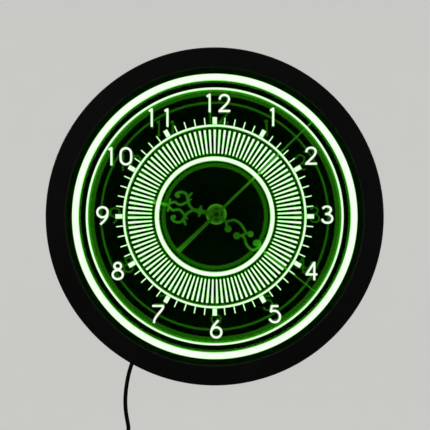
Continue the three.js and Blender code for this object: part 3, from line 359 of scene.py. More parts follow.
def keeps_flat(edge, smooth):
    """True where shading breaks: at a sharp corner, or where a broad face meets a thin one."""
    if not edge.is_manifold:
        return True
    angle = edge.calc_face_angle()
    areas = sorted(face.calc_area() for face in edge.link_faces)
    return angle > smooth or (angle > math.radians(4) and areas[1] > 6 * areas[0])


def piece(name, bm, surface, body, replaces=(), place=Vector(), smooth=math.radians(32)):
    """Makes the finished object: in place, smooth between its sharp edges, riding on its body."""
    bmesh.ops.translate(bm, verts=bm.verts, vec=place)
    for face in bm.faces:
        face.smooth = True
    for edge in bm.edges:
        edge.smooth = not keeps_flat(edge, smooth)
    mesh = bpy.data.meshes.new(name)
    bm.to_mesh(mesh)
    bm.free()
    for one in surface if isinstance(surface, (list, tuple)) else [surface]:
        mesh.materials.append(one)
    made = bpy.data.objects.new(name, mesh)
    bpy.context.scene.collection.objects.link(made)
    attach(made, body)
    if replaces:
        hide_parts(*replaces)
    return made


def lit_piece(name, bm, lit):
    """A piece of the engraving: it mirrors in gloss surfaces, and the spill light does the rest."""
    made = piece(name, bm, lit, "case", place=DIAL)
    made.visible_diffuse = False


def dress(surface, *nodes):
    """Gives frame nodes that stay their finish."""
    for name in nodes:
        materials = NODES[name].data.materials
        materials.clear()
        materials.append(surface)


# ---------------------------------------------------------------- finishes


def node(tree, kind, inputs=None, stops=(), **settings):
    """Adds a node with its properties, its ramp stops, and its inputs' values or links."""
    made = tree.nodes.new(kind)
    for key, value in settings.items():
        setattr(made, key, value)
    for key, value in (inputs or {}).items():
        source = value.outputs[0] if isinstance(value, bpy.types.Node) else value
        if isinstance(source, bpy.types.NodeSocket):
            tree.links.new(source, made.inputs[key])
        else:
            made.inputs[key].default_value = source
    for i, (place, colour) in enumerate(stops):
        elements = made.color_ramp.elements
        element = elements[i] if i < len(elements) else elements.new(place)
        element.position = place
        element.color = (*colour[:3], 1)
    return made


def finish(name):
    """Starts a material and gives back its empty node tree and its Object coordinates."""
    made = bpy.data.materials.new(name)
    made.use_nodes = True
    tree = made.node_tree
    tree.nodes.clear()
    return made, tree, node(tree, "ShaderNodeTexCoord").outputs["Object"]


def close(tree, inputs):
    """Ends a material with the shader that its patterns feed."""
    shader = node(tree, "ShaderNodeBsdfPrincipled", inputs)
    node(tree, "ShaderNodeOutputMaterial", {"Surface": shader})


def shade(colour, factor):
    return tuple(c * factor for c in colour)


def moulded_abs(name, colour, rough=(0.5, 0.62), specular=0.3, grain=0.6 * MM, depth=0.03 * MM):
    """Injection-moulded ABS from a spark-eroded tool: dull, with a fine even grain, faint flow
    marks and a few rubbed patches that are smoother and paler.

    The tool's grain is about 0.15 mm; it is drawn coarser so that it still breaks up the highlight.
    """
    made, tree, where = finish(name)
    fine = node(tree, "ShaderNodeTexNoise", {"Vector": where, "Scale": 1 / grain, "Detail": 3.0})
    broad = node(
        tree, "ShaderNodeTexNoise", {"Vector": where, "Scale": 1 / (55 * MM), "Detail": 4.0}
    )
    rubs = node(
        tree,
        "ShaderNodeValToRGB",
        {"Fac": broad},
        [(0.3, shade(colour, 0.85)), (0.55, colour), (0.75, shade(colour, 1.35))],
    )
    rub_gloss = node(
        tree,
        "ShaderNodeMapRange",
        {"Value": broad, "From Min": 0.4, "From Max": 0.8, "To Max": -0.07},
    )
    grain_rough = node(
        tree, "ShaderNodeMapRange", {"Value": fine, "To Min": rough[0], "To Max": rough[1]}
    )
    close(
        tree,
        {
            "Base Color": rubs,
            "Roughness": node(tree, "ShaderNodeMath", {0: grain_rough, 1: rub_gloss}),
            "Specular IOR Level": specular,
            "Normal": node(tree, "ShaderNodeBump", {"Height": fine, "Distance": depth}),
        },
    )
    return made


def cast_acrylic():
    """Cast acrylic sheet, flame polished: perfectly clear, with faint wiping marks in its gloss."""
    made, tree, where = finish("cast_acrylic_clear")
    along = node(tree, "ShaderNodeMapping", {"Vector": where, "Scale": (1, 1, 3)})
    wipes = node(
        tree, "ShaderNodeTexNoise", {"Vector": along, "Scale": 1 / (18 * MM), "Detail": 4.0}
    )
    close(
        tree,
        {
            "Base Color": (0.985, 1.0, 0.985, 1),
            "Roughness": node(tree, "ShaderNodeMapRange", {"Value": wipes, "To Max": 0.012}),
            "IOR": 1.49,
            "Transmission Weight": 1.0,
        },
    )
    return made


def lit_engraving():
    """Laser-engraved acrylic lit from the rim: the frosted floor of the cut glows almost white to
    the front, its sloping sides green, and it throws deep green light back into the clock."""
    light = bpy.context.scene.clock_light
    made, tree, where = finish("engraved_acrylic_lit")
    facing = node(tree, "ShaderNodeTexCoord").outputs["Normal"]
    inward = node(tree, "ShaderNodeSeparateXYZ", {"Vector": facing}).outputs["Y"]
    turn = node(tree, "ShaderNodeMapRange", {"Value": inward, "From Min": -1.0, "From Max": 1.0})
    colour = node(
        tree,
        "ShaderNodeValToRGB",
        {"Fac": turn},
        [(0.02, light.face), (0.12, light.flank), (0.45, light.inward), (0.55, light.inward)],
    )
    strength = node(
        tree,
        "ShaderNodeMapRange",
        {
            "Value": turn,
            "From Min": 0.45,
            "From Max": 0.6,
            "To Min": 1.05,
            "To Max": light.inward_strength,
        },
    )
    frost = node(
        tree, "ShaderNodeTexNoise", {"Vector": where, "Scale": 1 / (1.2 * MM), "Detail": 2.0}
    )
    close(
        tree,
        {
            "Base Color": (*linear("#101410"), 1),
            "Roughness": node(
                tree, "ShaderNodeMapRange", {"Value": frost, "To Min": 0.7, "To Max": 0.9}
            ),
            "Specular IOR Level": 0.0,
            "Emission Color": colour,
            "Emission Strength": strength,
        },
    )
    return made


def gloss_black_sheet():
    """Gloss black acrylic sheet: deep black, mirrors the engraving, a little wavy and dusty; the
    dust is tinted green, a painted tint of the engraving's green light.
    """
    made, tree, where = finish("gloss_black_acrylic_sheet")
    waves = node(
        tree, "ShaderNodeTexNoise", {"Vector": where, "Scale": 1 / (40 * MM), "Detail": 1.0}
    )
    dust_and_painted_green = node(
        tree, "ShaderNodeTexNoise", {"Vector": where, "Scale": 1 / (1.5 * MM), "Detail": 4.0}
    )
    close(
        tree,
        {
            # dust specks in a green tint: the specks are dust, and the green is painted light from
            # the engraving
            "Base Color": node(
                tree,
                "ShaderNodeValToRGB",
                {"Fac": dust_and_painted_green},
                [(0.6, linear("#0A120A")), (0.8, linear("#111A10"))],
            ),
            "Roughness": node(
                tree, "ShaderNodeMapRange", {"Value": waves, "To Min": 0.02, "To Max": 0.05}
            ),
            "IOR": 1.49,
            "Normal": node(tree, "ShaderNodeBump", {"Height": waves, "Distance": 0.02 * MM}),
        },
    )
    return made


def worked_metal(
    name,
    colour,
    rough=(0.25, 0.4),
    grain=(1, 1, 1),
    size=0.4 * MM,
    metallic=1.0,
    coat=0.0,
    specular=0.5,
):
    """Rolled, stamped or turned metal: fine tool lines along the grain that spread the highlight,
    and a slightly darker bloom of handling and tarnish."""
    made, tree, where = finish(name)
    along = node(tree, "ShaderNodeMapping", {"Vector": where, "Scale": grain})
    lines = node(tree, "ShaderNodeTexNoise", {"Vector": along, "Scale": 1 / size, "Detail": 3.0})
    tarnish = node(
        tree, "ShaderNodeTexNoise", {"Vector": where, "Scale": 1 / (7 * MM), "Detail": 3.0}
    )
    close(
        tree,
        {
            "Base Color": node(
                tree,
                "ShaderNodeValToRGB",
                {"Fac": tarnish},
                [(0.3, shade(colour, 0.8)), (0.7, colour)],
            ),
            "Metallic": metallic,
            "Specular IOR Level": specular,
            "Coat Weight": coat,
            "Coat Roughness": 0.1,
            "Roughness": node(
                tree, "ShaderNodeMapRange", {"Value": lines, "To Min": rough[0], "To Max": rough[1]}
            ),
            "Normal": node(tree, "ShaderNodeBump", {"Height": lines, "Distance": 0.008 * MM}),
        },
    )
    return made


def soft_plastic(name, colour, rough=(0.35, 0.5), size=0.8 * MM, depth=0.02 * MM):
    """Extruded or moulded plastic or rubber: a waxy sheen with slight unevenness."""
    made, tree, where = finish(name)
    skin = node(tree, "ShaderNodeTexNoise", {"Vector": where, "Scale": 1 / size, "Detail": 3.0})
    close(
        tree,
        {
            "Base Color": node(
                tree,
                "ShaderNodeValToRGB",
                {"Fac": skin},
                [(0.3, shade(colour, 0.8)), (0.7, colour)],
            ),
            "Roughness": node(
                tree, "ShaderNodeMapRange", {"Value": skin, "To Min": rough[0], "To Max": rough[1]}
            ),
            "Normal": node(tree, "ShaderNodeBump", {"Height": skin, "Distance": depth}),
        },
    )
    return made


def woven_tape():
    """Woven polyester hook tape: crossed ribs about 0.7 mm apart, matt, with a faint sheen; its
    hollows are painted darker and its rib crossings paler, as painted shade and highlight.
    """
    made, tree, where = finish("woven_polyester_tape")
    ribs = [
        node(
            tree,
            "ShaderNodeTexWave",
            {"Vector": where, "Scale": 1 / (0.7 * MM) / 20, "Distortion": 0.6},
            bands_direction=direction,
        )
        for direction in "XZ"
    ]
    weave_and_painted_shade = node(
        tree,
        "ShaderNodeMath",
        {0: ribs[0].outputs["Fac"], 1: ribs[1].outputs["Fac"]},
        operation="MULTIPLY",
    )
    close(
        tree,
        {
            # painted shade in the weave's hollows, and a paler painted highlight where the ribs
            # cross
            "Base Color": node(
                tree,
                "ShaderNodeValToRGB",
                {"Fac": weave_and_painted_shade},
                [(0.0, linear("#060606")), (0.8, linear("#1B1B1B"))],
            ),
            "Roughness": node(
                tree, "ShaderNodeMapRange", {"Value": weave_and_painted_shade, "To Min": 0.9, "To Max": 0.7}
            ),
            "Sheen Weight": 0.25,
            "Normal": node(tree, "ShaderNodeBump", {"Height": weave_and_painted_shade, "Distance": 0.2 * MM}),
        },
    )
    return made


def wound_wire():
    """Enamelled copper wire wound on a bobbin: glossy turns side by side, about 0.4 mm apart; the
    dark bands between the turns are painted shade in the grooves.
    """
    made, tree, where = finish("enamelled_copper_winding")
    turns = node(
        tree,
        "ShaderNodeTexWave",
        {"Vector": where, "Scale": 1 / (0.4 * MM) / 20},
        bands_direction="X",
    ).outputs["Fac"]
    close(
        tree,
        {
            # dark brown in the grooves between the turns is painted shade, with copper on the
            # turns' crowns
            "Base Color": node(
                tree,
                "ShaderNodeValToRGB",
                {"Fac": turns},
                [(0.1, linear("#4A2410")), (0.7, linear("#B87440"))],
            ),
            "Metallic": 0.9,
            "Roughness": node(
                tree, "ShaderNodeMapRange", {"Value": turns, "To Min": 0.5, "To Max": 0.25}
            ),
            "Normal": node(tree, "ShaderNodeBump", {"Height": turns, "Distance": 0.1 * MM}),
        },
    )
    return made


def printed_sleeve():
    """Shrunk, printed PET sleeve of a dry cell: glossy dark film with a copper band at one end."""
    made, tree, where = finish("printed_pet_sleeve")
    along = node(tree, "ShaderNodeSeparateXYZ", {"Vector": where}).outputs["X"]
    cell = middle("battery_cell").x
    band = node(
        tree,
        "ShaderNodeMapRange",
        {"Value": along, "From Min": cell - 25 * MM, "From Max": cell + 25 * MM},
    )
    creases = node(
        tree, "ShaderNodeTexNoise", {"Vector": where, "Scale": 1 / (2.5 * MM), "Detail": 3.0}
    )
    print_colour = node(
        tree,
        "ShaderNodeValToRGB",
        {"Fac": band},
        [
            (0.0, linear("#20242B")),
            (0.70, linear("#20242B")),
            (0.71, linear("#8C5A2C")),
            (0.97, linear("#8C5A2C")),
        ],
    )
    print_colour.color_ramp.interpolation = "CONSTANT"
    close(
        tree,
        {
            "Base Color": print_colour,
            "Metallic": 0.35,
            "Roughness": node(
                tree, "ShaderNodeMapRange", {"Value": creases, "To Min": 0.18, "To Max": 0.3}
            ),
            "Normal": node(tree, "ShaderNodeBump", {"Height": creases, "Distance": 0.03 * MM}),
        },
    )
    return made


# ---------------------------------------------------------------- stage


FLOOR_RADIUS = 4.5
FLOOR_CURVE = 1.2  # radius of the curve from the floor up into its wall
WALL_HEIGHT = 9.0
FLOOR_DROP = 1.5  # floor below the wall screw

# soft lamps: name, diameter, share of the key light's power, place
LAMPS = [
    ("key_left", 0.6, 1.0, (-1.5, -0.7, 0.9)),
    ("fill_right", 0.8, 0.5, (1.5, -0.5, 0.2)),
    ("top", 0.8, 0.8, (0, -0.1, 1.5)),
    ("back_left", 0.7, 4.0, (-1.1, 1.2, 0.5)),
    ("back_right", 0.7, 3.0, (1.2, 1.1, 0.3)),
]
SPILL_SIZE = 90 * MM
SPILL_GAP = 0.6 * MM  # spill light to the acrylic's back


def area_light(name, size, power, place, target):
    data = bpy.data.lights.new(name, "AREA")
    data.shape = "DISK"
    data.size = size
    data.energy = power
    lamp = bpy.data.objects.new(name, data)
    lamp.location = place
    lamp.rotation_euler = (Vector(target) - Vector(place)).to_track_quat("-Z", "Y").to_euler()
    lamp.visible_transmission = False
    bpy.context.scene.collection.objects.link(lamp)
    return lamp


class CLOCK_OT_stage(bpy.types.Operator):
    """Makes the plain floor with its cove, the soft lights and the camera"""

    bl_idname = "clock.stage"
    bl_label = "Stage"

    def execute(self, context):
        scene = context.scene
        settings = scene.clock_stage
        scene.view_settings.view_transform = "Standard"

        data = bpy.data.cameras.new("clock_camera")
        data.lens = settings.lens
        data.sensor_width = 36
        data.clip_start = 0.01
        camera = bpy.data.objects.new("clock_camera", data)
        camera.location = DIAL + Vector(settings.camera_place)
        camera.rotation_euler = (math.pi / 2, 0, 0)
        scene.collection.objects.link(camera)
        scene.camera = camera

        # a round floor that curves up into a low wall, far from every camera
        bm = bmesh.new()
        section = [(0, 0), (FLOOR_RADIUS, 0), (FLOOR_RADIUS, WALL_HEIGHT)]
        corners = [bm.verts.new((x, 0, z)) for x, z in section]
        rim = [bm.edges.new(pair) for pair in zip(corners, corners[1:])]
        bmesh.ops.spin(
            bm,
            geom=corners + rim,
            cent=(0, 0, 0),
            axis=(0, 0, 1),
            angle=TURN,
            steps=96,
            use_merge=True,
        )
        bmesh.ops.remove_doubles(bm, verts=bm.verts, dist=1e-5)
        foot = [
            e
            for e in bm.edges
            if all(abs(v.co.z) < 1e-4 and v.co.xy.length > FLOOR_RADIUS / 2 for v in e.verts)
        ]
        rounded(bm, foot, FLOOR_CURVE, 12)
        bmesh.ops.translate(bm, verts=bm.verts, vec=(0, 0, -FLOOR_DROP))
        mesh = bpy.data.meshes.new("studio_floor")
        bm.to_mesh(mesh)
        bm.free()
        mesh.polygons.foreach_set("use_smooth", [True] * len(mesh.polygons))
        # seamless studio paper, evenly lit: the same pale tone from every side
        paper, tree, where = finish("studio_paper")
        fibres = node(tree, "ShaderNodeTexNoise", {"Vector": where, "Scale": 4.0, "Detail": 2.0})
        tone = settings.floor_colour
        close(
            tree,
            {
                "Base Color": (*shade(tone, 0.3), 1),
                "Roughness": 1.0,
                "Specular IOR Level": 0.0,
                "Emission Color": node(
                    tree,
                    "ShaderNodeValToRGB",
                    {"Fac": fibres},
                    [(0.3, shade(tone, 0.985)), (0.7, tone)],
                ),
                "Emission Strength": 0.85,
            },
        )
        mesh.materials.append(paper)
        floor = bpy.data.objects.new("studio_floor", mesh)
        scene.collection.objects.link(floor)
        floor.visible_glossy = False
        floor.visible_transmission = False

        world = bpy.data.worlds.new("studio_dim")
        world.use_nodes = True
        world.node_tree.nodes["Background"].inputs["Color"].default_value = (0.6, 1.0, 0.5, 1)
        world.node_tree.nodes["Background"].inputs["Strength"].default_value = 0.003
        scene.world = world

        for name, size, share, place in LAMPS:
            area_light(name, size, settings.key_power * share, place, DIAL)

        # green light that the acrylic's back face spreads over the hands
        behind = Vector((HUB.x, ACRYLIC_BACK + SPILL_GAP, HUB.z))
        target = behind + Vector((0, 1, 0))
        spill = area_light("acrylic_spill", SPILL_SIZE, settings.spill_power, behind, target)
        spill.data.color = settings.spill_colour
        spill.visible_camera = False
        spill.visible_glossy = False
        return {"FINISHED"}


# ---------------------------------------------------------------- lead

LEAD_EXIT = DIAL + Vector((-76.3, -GLAND_BACK / MM, -132.2)) * MM  # outer end of the gland
# the lead's way from its exit, in millimetres: out of the gland and down the wall to the coil
LEAD_ROUTE = [
    (-0.2, 0.0, -0.3),
    (-2.7, 0.4, -4.7),
    (-6.1, 1.2, -14.4),
    (-9.1, 2.2, -24.3),
    (-11.3, 3.2, -34.8),
    (-12.7, 4.1, -45.3),
    (-13.1, 4.8, -55.4),
    (-12.5, 5.3, -64.8),
    (-11.1, 5.6, -73.8),
    (-10.2, 5.7, -80.2),
    (-11.7, 5.8, -87.7),
]
TAIL_ROUTE = [
    (-23.3, -6.5, -132.6),
    (-23.3, -6.3, -137.8),
    (-23.3, -5.4, -143.8),
    (-23.3, -4.3, -149.8),
    (-23.3, -3.6, -157.5),
    (-23.3, -3.5, -167.8),
    (-23.3, -3.5, -179.8),
    (-23.3, -3.5, -194.1),
    (-23.3, -3.5, -204.8),
    (-23.3, -3.5, -217.8),
]
COIL_CENTRE = (4.3, -115.8)  # x and z, from the exit
COIL_OUTER = 27.6  # radius of the outermost turn's middle
COIL_INNER = 18.4
COIL_PLANES = 4
COIL_TURNS = 9.125
COIL_BACK = 4.2  # middle of the first layer to the wall
COIL_PITCH = 4.1  # layer to layer
COIL_ENTRY = math.radians(135)
POINTS_PER_TURN = 20


def coil_points():
    """The wound part: four layers, each spiralling in or out between inner and outer turn."""
    per_plane = COIL_TURNS / COIL_PLANES
    steps = round(COIL_TURNS * POINTS_PER_TURN)
    ease = 0.1  # turns on either side of a change of layer
    points = []
    for i in range(steps + 1):
        turned = COIL_TURNS * i / steps
        layer = min(int(turned / per_plane), COIL_PLANES - 1)
        share = turned / per_plane - layer
        inward = share if layer % 2 == 0 else 1 - share
        radius = COIL_OUTER + (COIL_INNER - COIL_OUTER) * inward
        depth = float(layer)
        for change in range(1, COIL_PLANES):
            away = turned - change * per_plane
            if abs(away) < ease:
                t = (away + ease) / (2 * ease)
                depth = change - 1 + t * t * (3 - 2 * t)
        angle = COIL_ENTRY + TURN * turned
        points.append(
            (
                COIL_CENTRE[0] + radius * math.cos(angle),
                GLAND_BACK / MM - COIL_BACK - COIL_PITCH * depth,
                COIL_CENTRE[1] + radius * math.sin(angle),
            )
        )
    return points


class CLOCK_OT_lead(bpy.types.Operator):
    """Makes the low-voltage lead from the gland through its coil and switch to the plug"""

    bl_idname = "clock.lead"
    bl_label = "Lead"

    def execute(self, context):
        settings = context.scene.clock_cord
        route = LEAD_ROUTE + coil_points() + TAIL_ROUTE
        data = bpy.data.curves.new("power_lead", "CURVE")
        data.dimensions = "3D"
        data.bevel_depth = settings.diameter / 2
        data.bevel_resolution = 3
        data.use_fill_caps = True
        data.resolution_u = 3
        spline = data.splines.new("BEZIER")
        spline.bezier_points.add(len(route) - 1)
        for point, place in zip(spline.bezier_points, route):
            point.co = LEAD_EXIT + Vector(place) * MM
            point.handle_left_type = point.handle_right_type = "AUTO"
        # PVC jacket, extruded: semi-gloss, very slightly ribbed by the strands under it
        data.materials.append(soft_plastic("pvc_jacket_black", linear("#0A0A0A"), (0.38, 0.52)))
        lead = bpy.data.objects.new("power_lead", data)
        context.scene.collection.objects.link(lead)
        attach(lead, "case")
        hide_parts("cord_lead", "cord_coil", "cord_tail_upper", "cord_tail_lower")
        return {"FINISHED"}


# ---------------------------------------------------------------- case


def cross_screw(bm, x, z, front, back):
    """A pan-head screw with a cross recess, its head towards the wall at y = back."""
    head, core, height, recess = 2.7 * MM, 1.4 * MM, 1.2 * MM, 0.7 * MM
    facing_wall = Matrix.Rotation(-math.pi / 2, 4, "X")
    place = Matrix.Translation((x, back, z)) @ facing_wall
    flat = bmesh.ops.create_grid(
        bm, x_segments=5, y_segments=5, size=head * 0.5, matrix=place
    )["verts"]
    cell = head * 0.2
    cross = []
    for face in {f for v in flat for f in v.link_faces}:
        at = face.calc_center_median()
        across, up = abs(at.x - x), abs(at.z - z)
        if min(across, up) < cell / 2 and max(across, up) < cell * 1.5:
            cross.append(face)
    ring = list({e for v in flat for e in v.link_edges if e.is_boundary})
    bmesh.ops.inset_region(
        bm, faces=cross, thickness=cell * 0.15, depth=-recess, use_even_offset=False
    )
    for radius, y in [
        (head * 0.8, back - 0.02 * MM),
        (head, back - height * 0.5),
        (head, back - height),
        (core, back - height),
        (core, front + core),
        (core * 0.3, front),
    ]:
        disc = bmesh.ops.create_circle(
            bm, segments=20, radius=radius, matrix=Matrix.Translation((x, y, z)) @ facing_wall
        )["verts"]
        next_ring = list({e for v in disc for e in v.link_edges})
        bmesh.ops.bridge_loops(bm, edges=ring + next_ring)
        ring = next_ring
    bmesh.ops.edgeloop_fill(bm, edges=ring)
    bmesh.ops.recalc_face_normals(bm, faces=bm.faces)


class CLOCK_OT_case(bpy.types.Operator):
    """Makes the bezel drum and finishes the back cover, its screws, the hanger and the gland"""

    bl_idname = "clock.case"
    bl_label = "Case"

    def execute(self, context):
        settings = context.scene.clock_case
        opening = ACRYLIC_RADIUS - FLANGE_COVER
        skirt = CASE_RADIUS - SKIRT_WALL
        flange_back = CASE_FRONT + FLANGE_THICK
        black = moulded_abs("moulded_abs_matt_black", settings.colour)
        bm = spun(
            [
                (opening, CASE_FRONT),
                (CASE_RADIUS, CASE_FRONT),
                (CASE_RADIUS, 0),
                (skirt, 0),
                (skirt, flange_back),
                (opening, flange_back),
            ]
        )
        rounded(bm, circle_edges(bm, CASE_RADIUS, CASE_FRONT), settings.outer_edge, 5)
        rounded(bm, circle_edges(bm, opening, CASE_FRONT), settings.inner_edge, 4)
        rounded(bm, circle_edges(bm, CASE_RADIUS, 0), 0.5 * MM, 2)
        piece("bezel_drum", bm, black, "case", ["front_bezel"], DIAL)

        bm = frame_copy("back_cover", 0.35 * MM, 2)
        piece("rear_cover", bm, black, "case", ["back_cover"])

        # zinc plate: a cool bright grey, a little cloudy
        steel = worked_metal("zinc_plated_steel", linear("#A9ACAE"))
        screws = [f"case_screw_{i}" for i in range(1, 7)]
        bm = bmesh.new()
        for screw in screws:
            low, high = extent(screw)
            cross_screw(bm, (low.x + high.x) / 2, (low.z + high.z) / 2, low.y, high.y)
        piece("case_screws", bm, steel, "case", screws)
        dress(steel, "hanger_screw_1", "hanger_screw_2")
        bm = frame_copy("hanger_plate", 0.2 * MM)
        piece("keyhole_hanger", bm, steel, "case", ["hanger_plate"])

        rubber = soft_plastic("moulded_rubber_black", linear("#0B0B0B"), (0.55, 0.7))
        dress(rubber, "bush_gasket")
        head, neck, foot, lip = 4.6 * MM, 3.0 * MM, 3.8 * MM, 2.5 * MM
        inside = skirt - 2.5 * MM
        seat = CASE_RADIUS - 0.6 * MM
        outside = CASE_RADIUS + 0.6 * MM
        tip = CASE_RADIUS + 2.6 * MM
        bm = spun(
            [
                (0, inside),
                (foot, inside),
                (head, skirt - GAP),
                (neck, skirt - GAP),
                (neck, seat),
                (head, seat),
                (head, outside),
                (lip, tip),
                (0, tip),
            ],
            48,
        )
        rounded(bm, circle_edges(bm, head, outside), 0.5 * MM, 3)
        rounded(bm, circle_edges(bm, lip, tip), 0.3 * MM, 2)
        out_of_case = Vector((-0.5, 0, -math.sqrt(3) / 2))  # towards seven o'clock
        bmesh.ops.rotate(
            bm,
            verts=bm.verts,
            cent=(0, 0, 0),
            matrix=Vector((0, 1, 0)).rotation_difference(out_of_case).to_matrix(),
        )
        piece(
            "rubber_gland",
            bm,
            rubber,
            "case",
            ["cord_gland"],
            DIAL + Vector((0, -GLAND_BACK, 0)),
        )
        return {"FINISHED"}


# ---------------------------------------------------------------- dial


def cut_ring(bm, inner, outer, flank, front, back):
    spun([(inner, back), (inner + flank, front), (outer - flank, front), (outer, back)], 256, bm)


def wedge(bm, from_radius, to_radius, from_half, to_half, flank, front, back):
    """One straight cut that points outwards along +Z, with sloping sides."""
    corners = block(bm, (-1, back, from_radius), (1, front, to_radius))
    for v in corners:
        outer = v.co.z > (from_radius + to_radius) / 2
        half = to_half if outer else from_half
        at_front = abs(v.co.y - front) < 1e-7
        side = math.copysign(1, v.co.x)
        v.co.x = side * (half - (flank if at_front else 0))
        if at_front:
            v.co.z += -flank if outer else flank
    return corners


def around(bm, verts, count):
    """Repeats the given corners' geometry evenly round the dial."""
    parts = list(verts) + list({e for v in verts for e in v.link_edges})
    parts += list({f for v in verts for f in v.link_faces})
    bmesh.ops.spin(
        bm,
        geom=parts,
        cent=(0, 0, 0),
        axis=(0, 1, 0),
        angle=TURN * (count - 1) / count,
        steps=count - 1,
        use_duplicate=True,
    )


def ellipse(x, z, across, up, start=0.0, sweep=360.0, count=16):
    """Points of an arc, in millimetres; angles in degrees from +x towards +z."""
    turns = [math.radians(start + sweep * i / count) for i in range(count + 1)]
    return [(x + across * math.cos(a), z + up * math.sin(a)) for a in turns]


# lit rings, in millimetres: inner and outer radius, and width of the sloping flank
RINGS = [
    (121.2, 127.6, 0.5),
    (113.0, 115.25, 0.4),
    (80.0, 82.2, 0.4),
    (49.6, 53.7, 0.5),
]
TICK_FOOT = 82.2 * MM  # the ticks stand on the third ring
HOUR_TICK_EXTRA = 0.3 * MM

# hour numbers as single lines, in millimetres from each figure's middle
FIGURES = {
    "0": [
        ellipse(0, 2.6, 4.65, 4.6, 0, 180, 8)
        + ellipse(0, -2.6, 4.65, 4.6, 180, 180, 8)
        + [(4.65, 2.6)],
    ],
    "1": [[(0, 8.2), (0, -8.2)], [(0.1, 7.6), (-2.5, 5.7)]],
    "2": [
        [(-4.1, 3.1), (-3.5, 5.2), (-1.9, 6.7), (0.1, 7.15), (2.3, 6.7), (4.0, 5.1), (4.3, 3.2),
         (3.6, 1.2), (1.9, -1.1), (-0.8, -3.8), (-4.0, -7.0)],
        [(-5.0, -7.1), (5.4, -7.1)],
    ],
    "3": [
        [(-4.0, 5.2), (-2.4, 6.7), (0, 7.2), (2.1, 6.6), (3.2, 5.0), (3.1, 3.4), (2.1, 1.8),
         (0.4, 0.8), (-1.6, 0.5)],
        [(-1.6, 0.5), (1.2, 0.3), (3.2, -0.8), (4.5, -3.0), (4.1, -5.3), (2.4, -6.9), (0, -7.3),
         (-2.9, -6.4), (-4.6, -4.0)],
    ],
    "4": [
        [(2.5, 8.2), (2.5, -8.2)],
        [(2.3, 7.4), (-4.6, -3.0)],
        [(-5.2, -3.0), (5.2, -3.0)],
    ],
    "5": [
        [(-3.4, 7.1), (3.1, 7.1)],
        [(-2.6, 7.6), (-3.9, 1.9)],
        [(-4.2, 2.2), (-1.7, 2.9), (1.2, 2.6), (3.6, 0.6), (4.5, -2.1), (3.8, -4.9), (1.9, -6.8),
         (-0.6, -7.2), (-3.2, -6.3), (-5.0, -4.2)],
    ],
    "6": [
        ellipse(0, -2.75, 4.6, 4.5),
        [(2.0, 8.1), (-1.3, 4.45), (-3.7, 0.9), (-4.6, -2.6)],
    ],
    "7": [
        [(-5.2, 7.1), (5.0, 7.1)],
        [(4.7, 7.1), (4.0, 4.9), (1.5, 1.5), (-1.3, -2.0), (-3.1, -5.0), (-3.9, -8.2)],
    ],
    "8": [
        ellipse(0, 4.4, 3.0, 2.85),
        ellipse(0, -3.3, 4.5, 4.0),
    ],
    "9": [
        ellipse(0, 2.75, 4.6, 4.5),
        [(4.6, 2.4), (3.9, -1.2), (1.7, -4.6), (-1.9, -8.2)],
    ],
}
# each figure with the place of its middle on the dial, in millimetres
NUMERALS = [
    ("1", -4.5, 101.2),
    ("2", 8.4, 101.2),
    ("1", 52.2, 88.8),
    ("2", 85.8, 54.2),
    ("3", 100.4, 1.6),
    ("4", 86.4, -48.8),
    ("5", 53.8, -87.2),
    ("6", 1.4, -100.8),
    ("7", -50.5, -87.0),
    ("8", -86.6, -48.7),
    ("9", -100.2, 1.0),
    ("1", -92.2, 53.7),
    ("0", -79.3, 53.7),
    ("1", -56.2, 88.2),
    ("1", -42.2, 88.2),
]


def add_stroke(bm, points, width, depth_share, place, depth_middle):
    """Lays one engraved line through the points: a tube, flattened to the depth of the cut."""
    data = bpy.data.curves.new("stroke", "CURVE")
    data.dimensions = "3D"
    data.bevel_depth = width / 2
    data.bevel_resolution = 3
    data.use_fill_caps = True
    data.resolution_u = 5
    spline = data.splines.new("BEZIER")
    closed = len(points) > 3 and (Vector(points[0]) - Vector(points[-1])).length < 1e-6
    used = points[:-1] if closed else points
    spline.bezier_points.add(len(used) - 1)
    spline.use_cyclic_u = closed
    for point, (x, z) in zip(spline.bezier_points, used):
        point.co = (x * MM, 0, z * MM)
        point.handle_left_type = point.handle_right_type = "AUTO"
    holder = bpy.data.objects.new("stroke", data)
    mesh = holder.to_mesh()
    mesh.transform(
        Matrix.Translation((place[0] * MM, depth_middle, place[1] * MM))
        @ Matrix.Diagonal((1, depth_share, 1, 1))
    )
    bm.from_mesh(mesh)
    holder.to_mesh_clear()
    bpy.data.objects.remove(holder)
    bpy.data.curves.remove(data)


SKIN = 0.08 * MM  # clear acrylic in front of the lit pieces
BUSH_HOLE = 4.3 * MM  # radius of the hole that the movement's bush passes through
TAPE_THICK = 0.5 * MM
CHIP_COUNT = 120
CHIP_HALF = 1.5 * MM  # half a light chip's length round the strip
CHIP_EDGE = 1.2 * MM  # chip to the tape's edges
CHIP_HEIGHT = 1.0 * MM


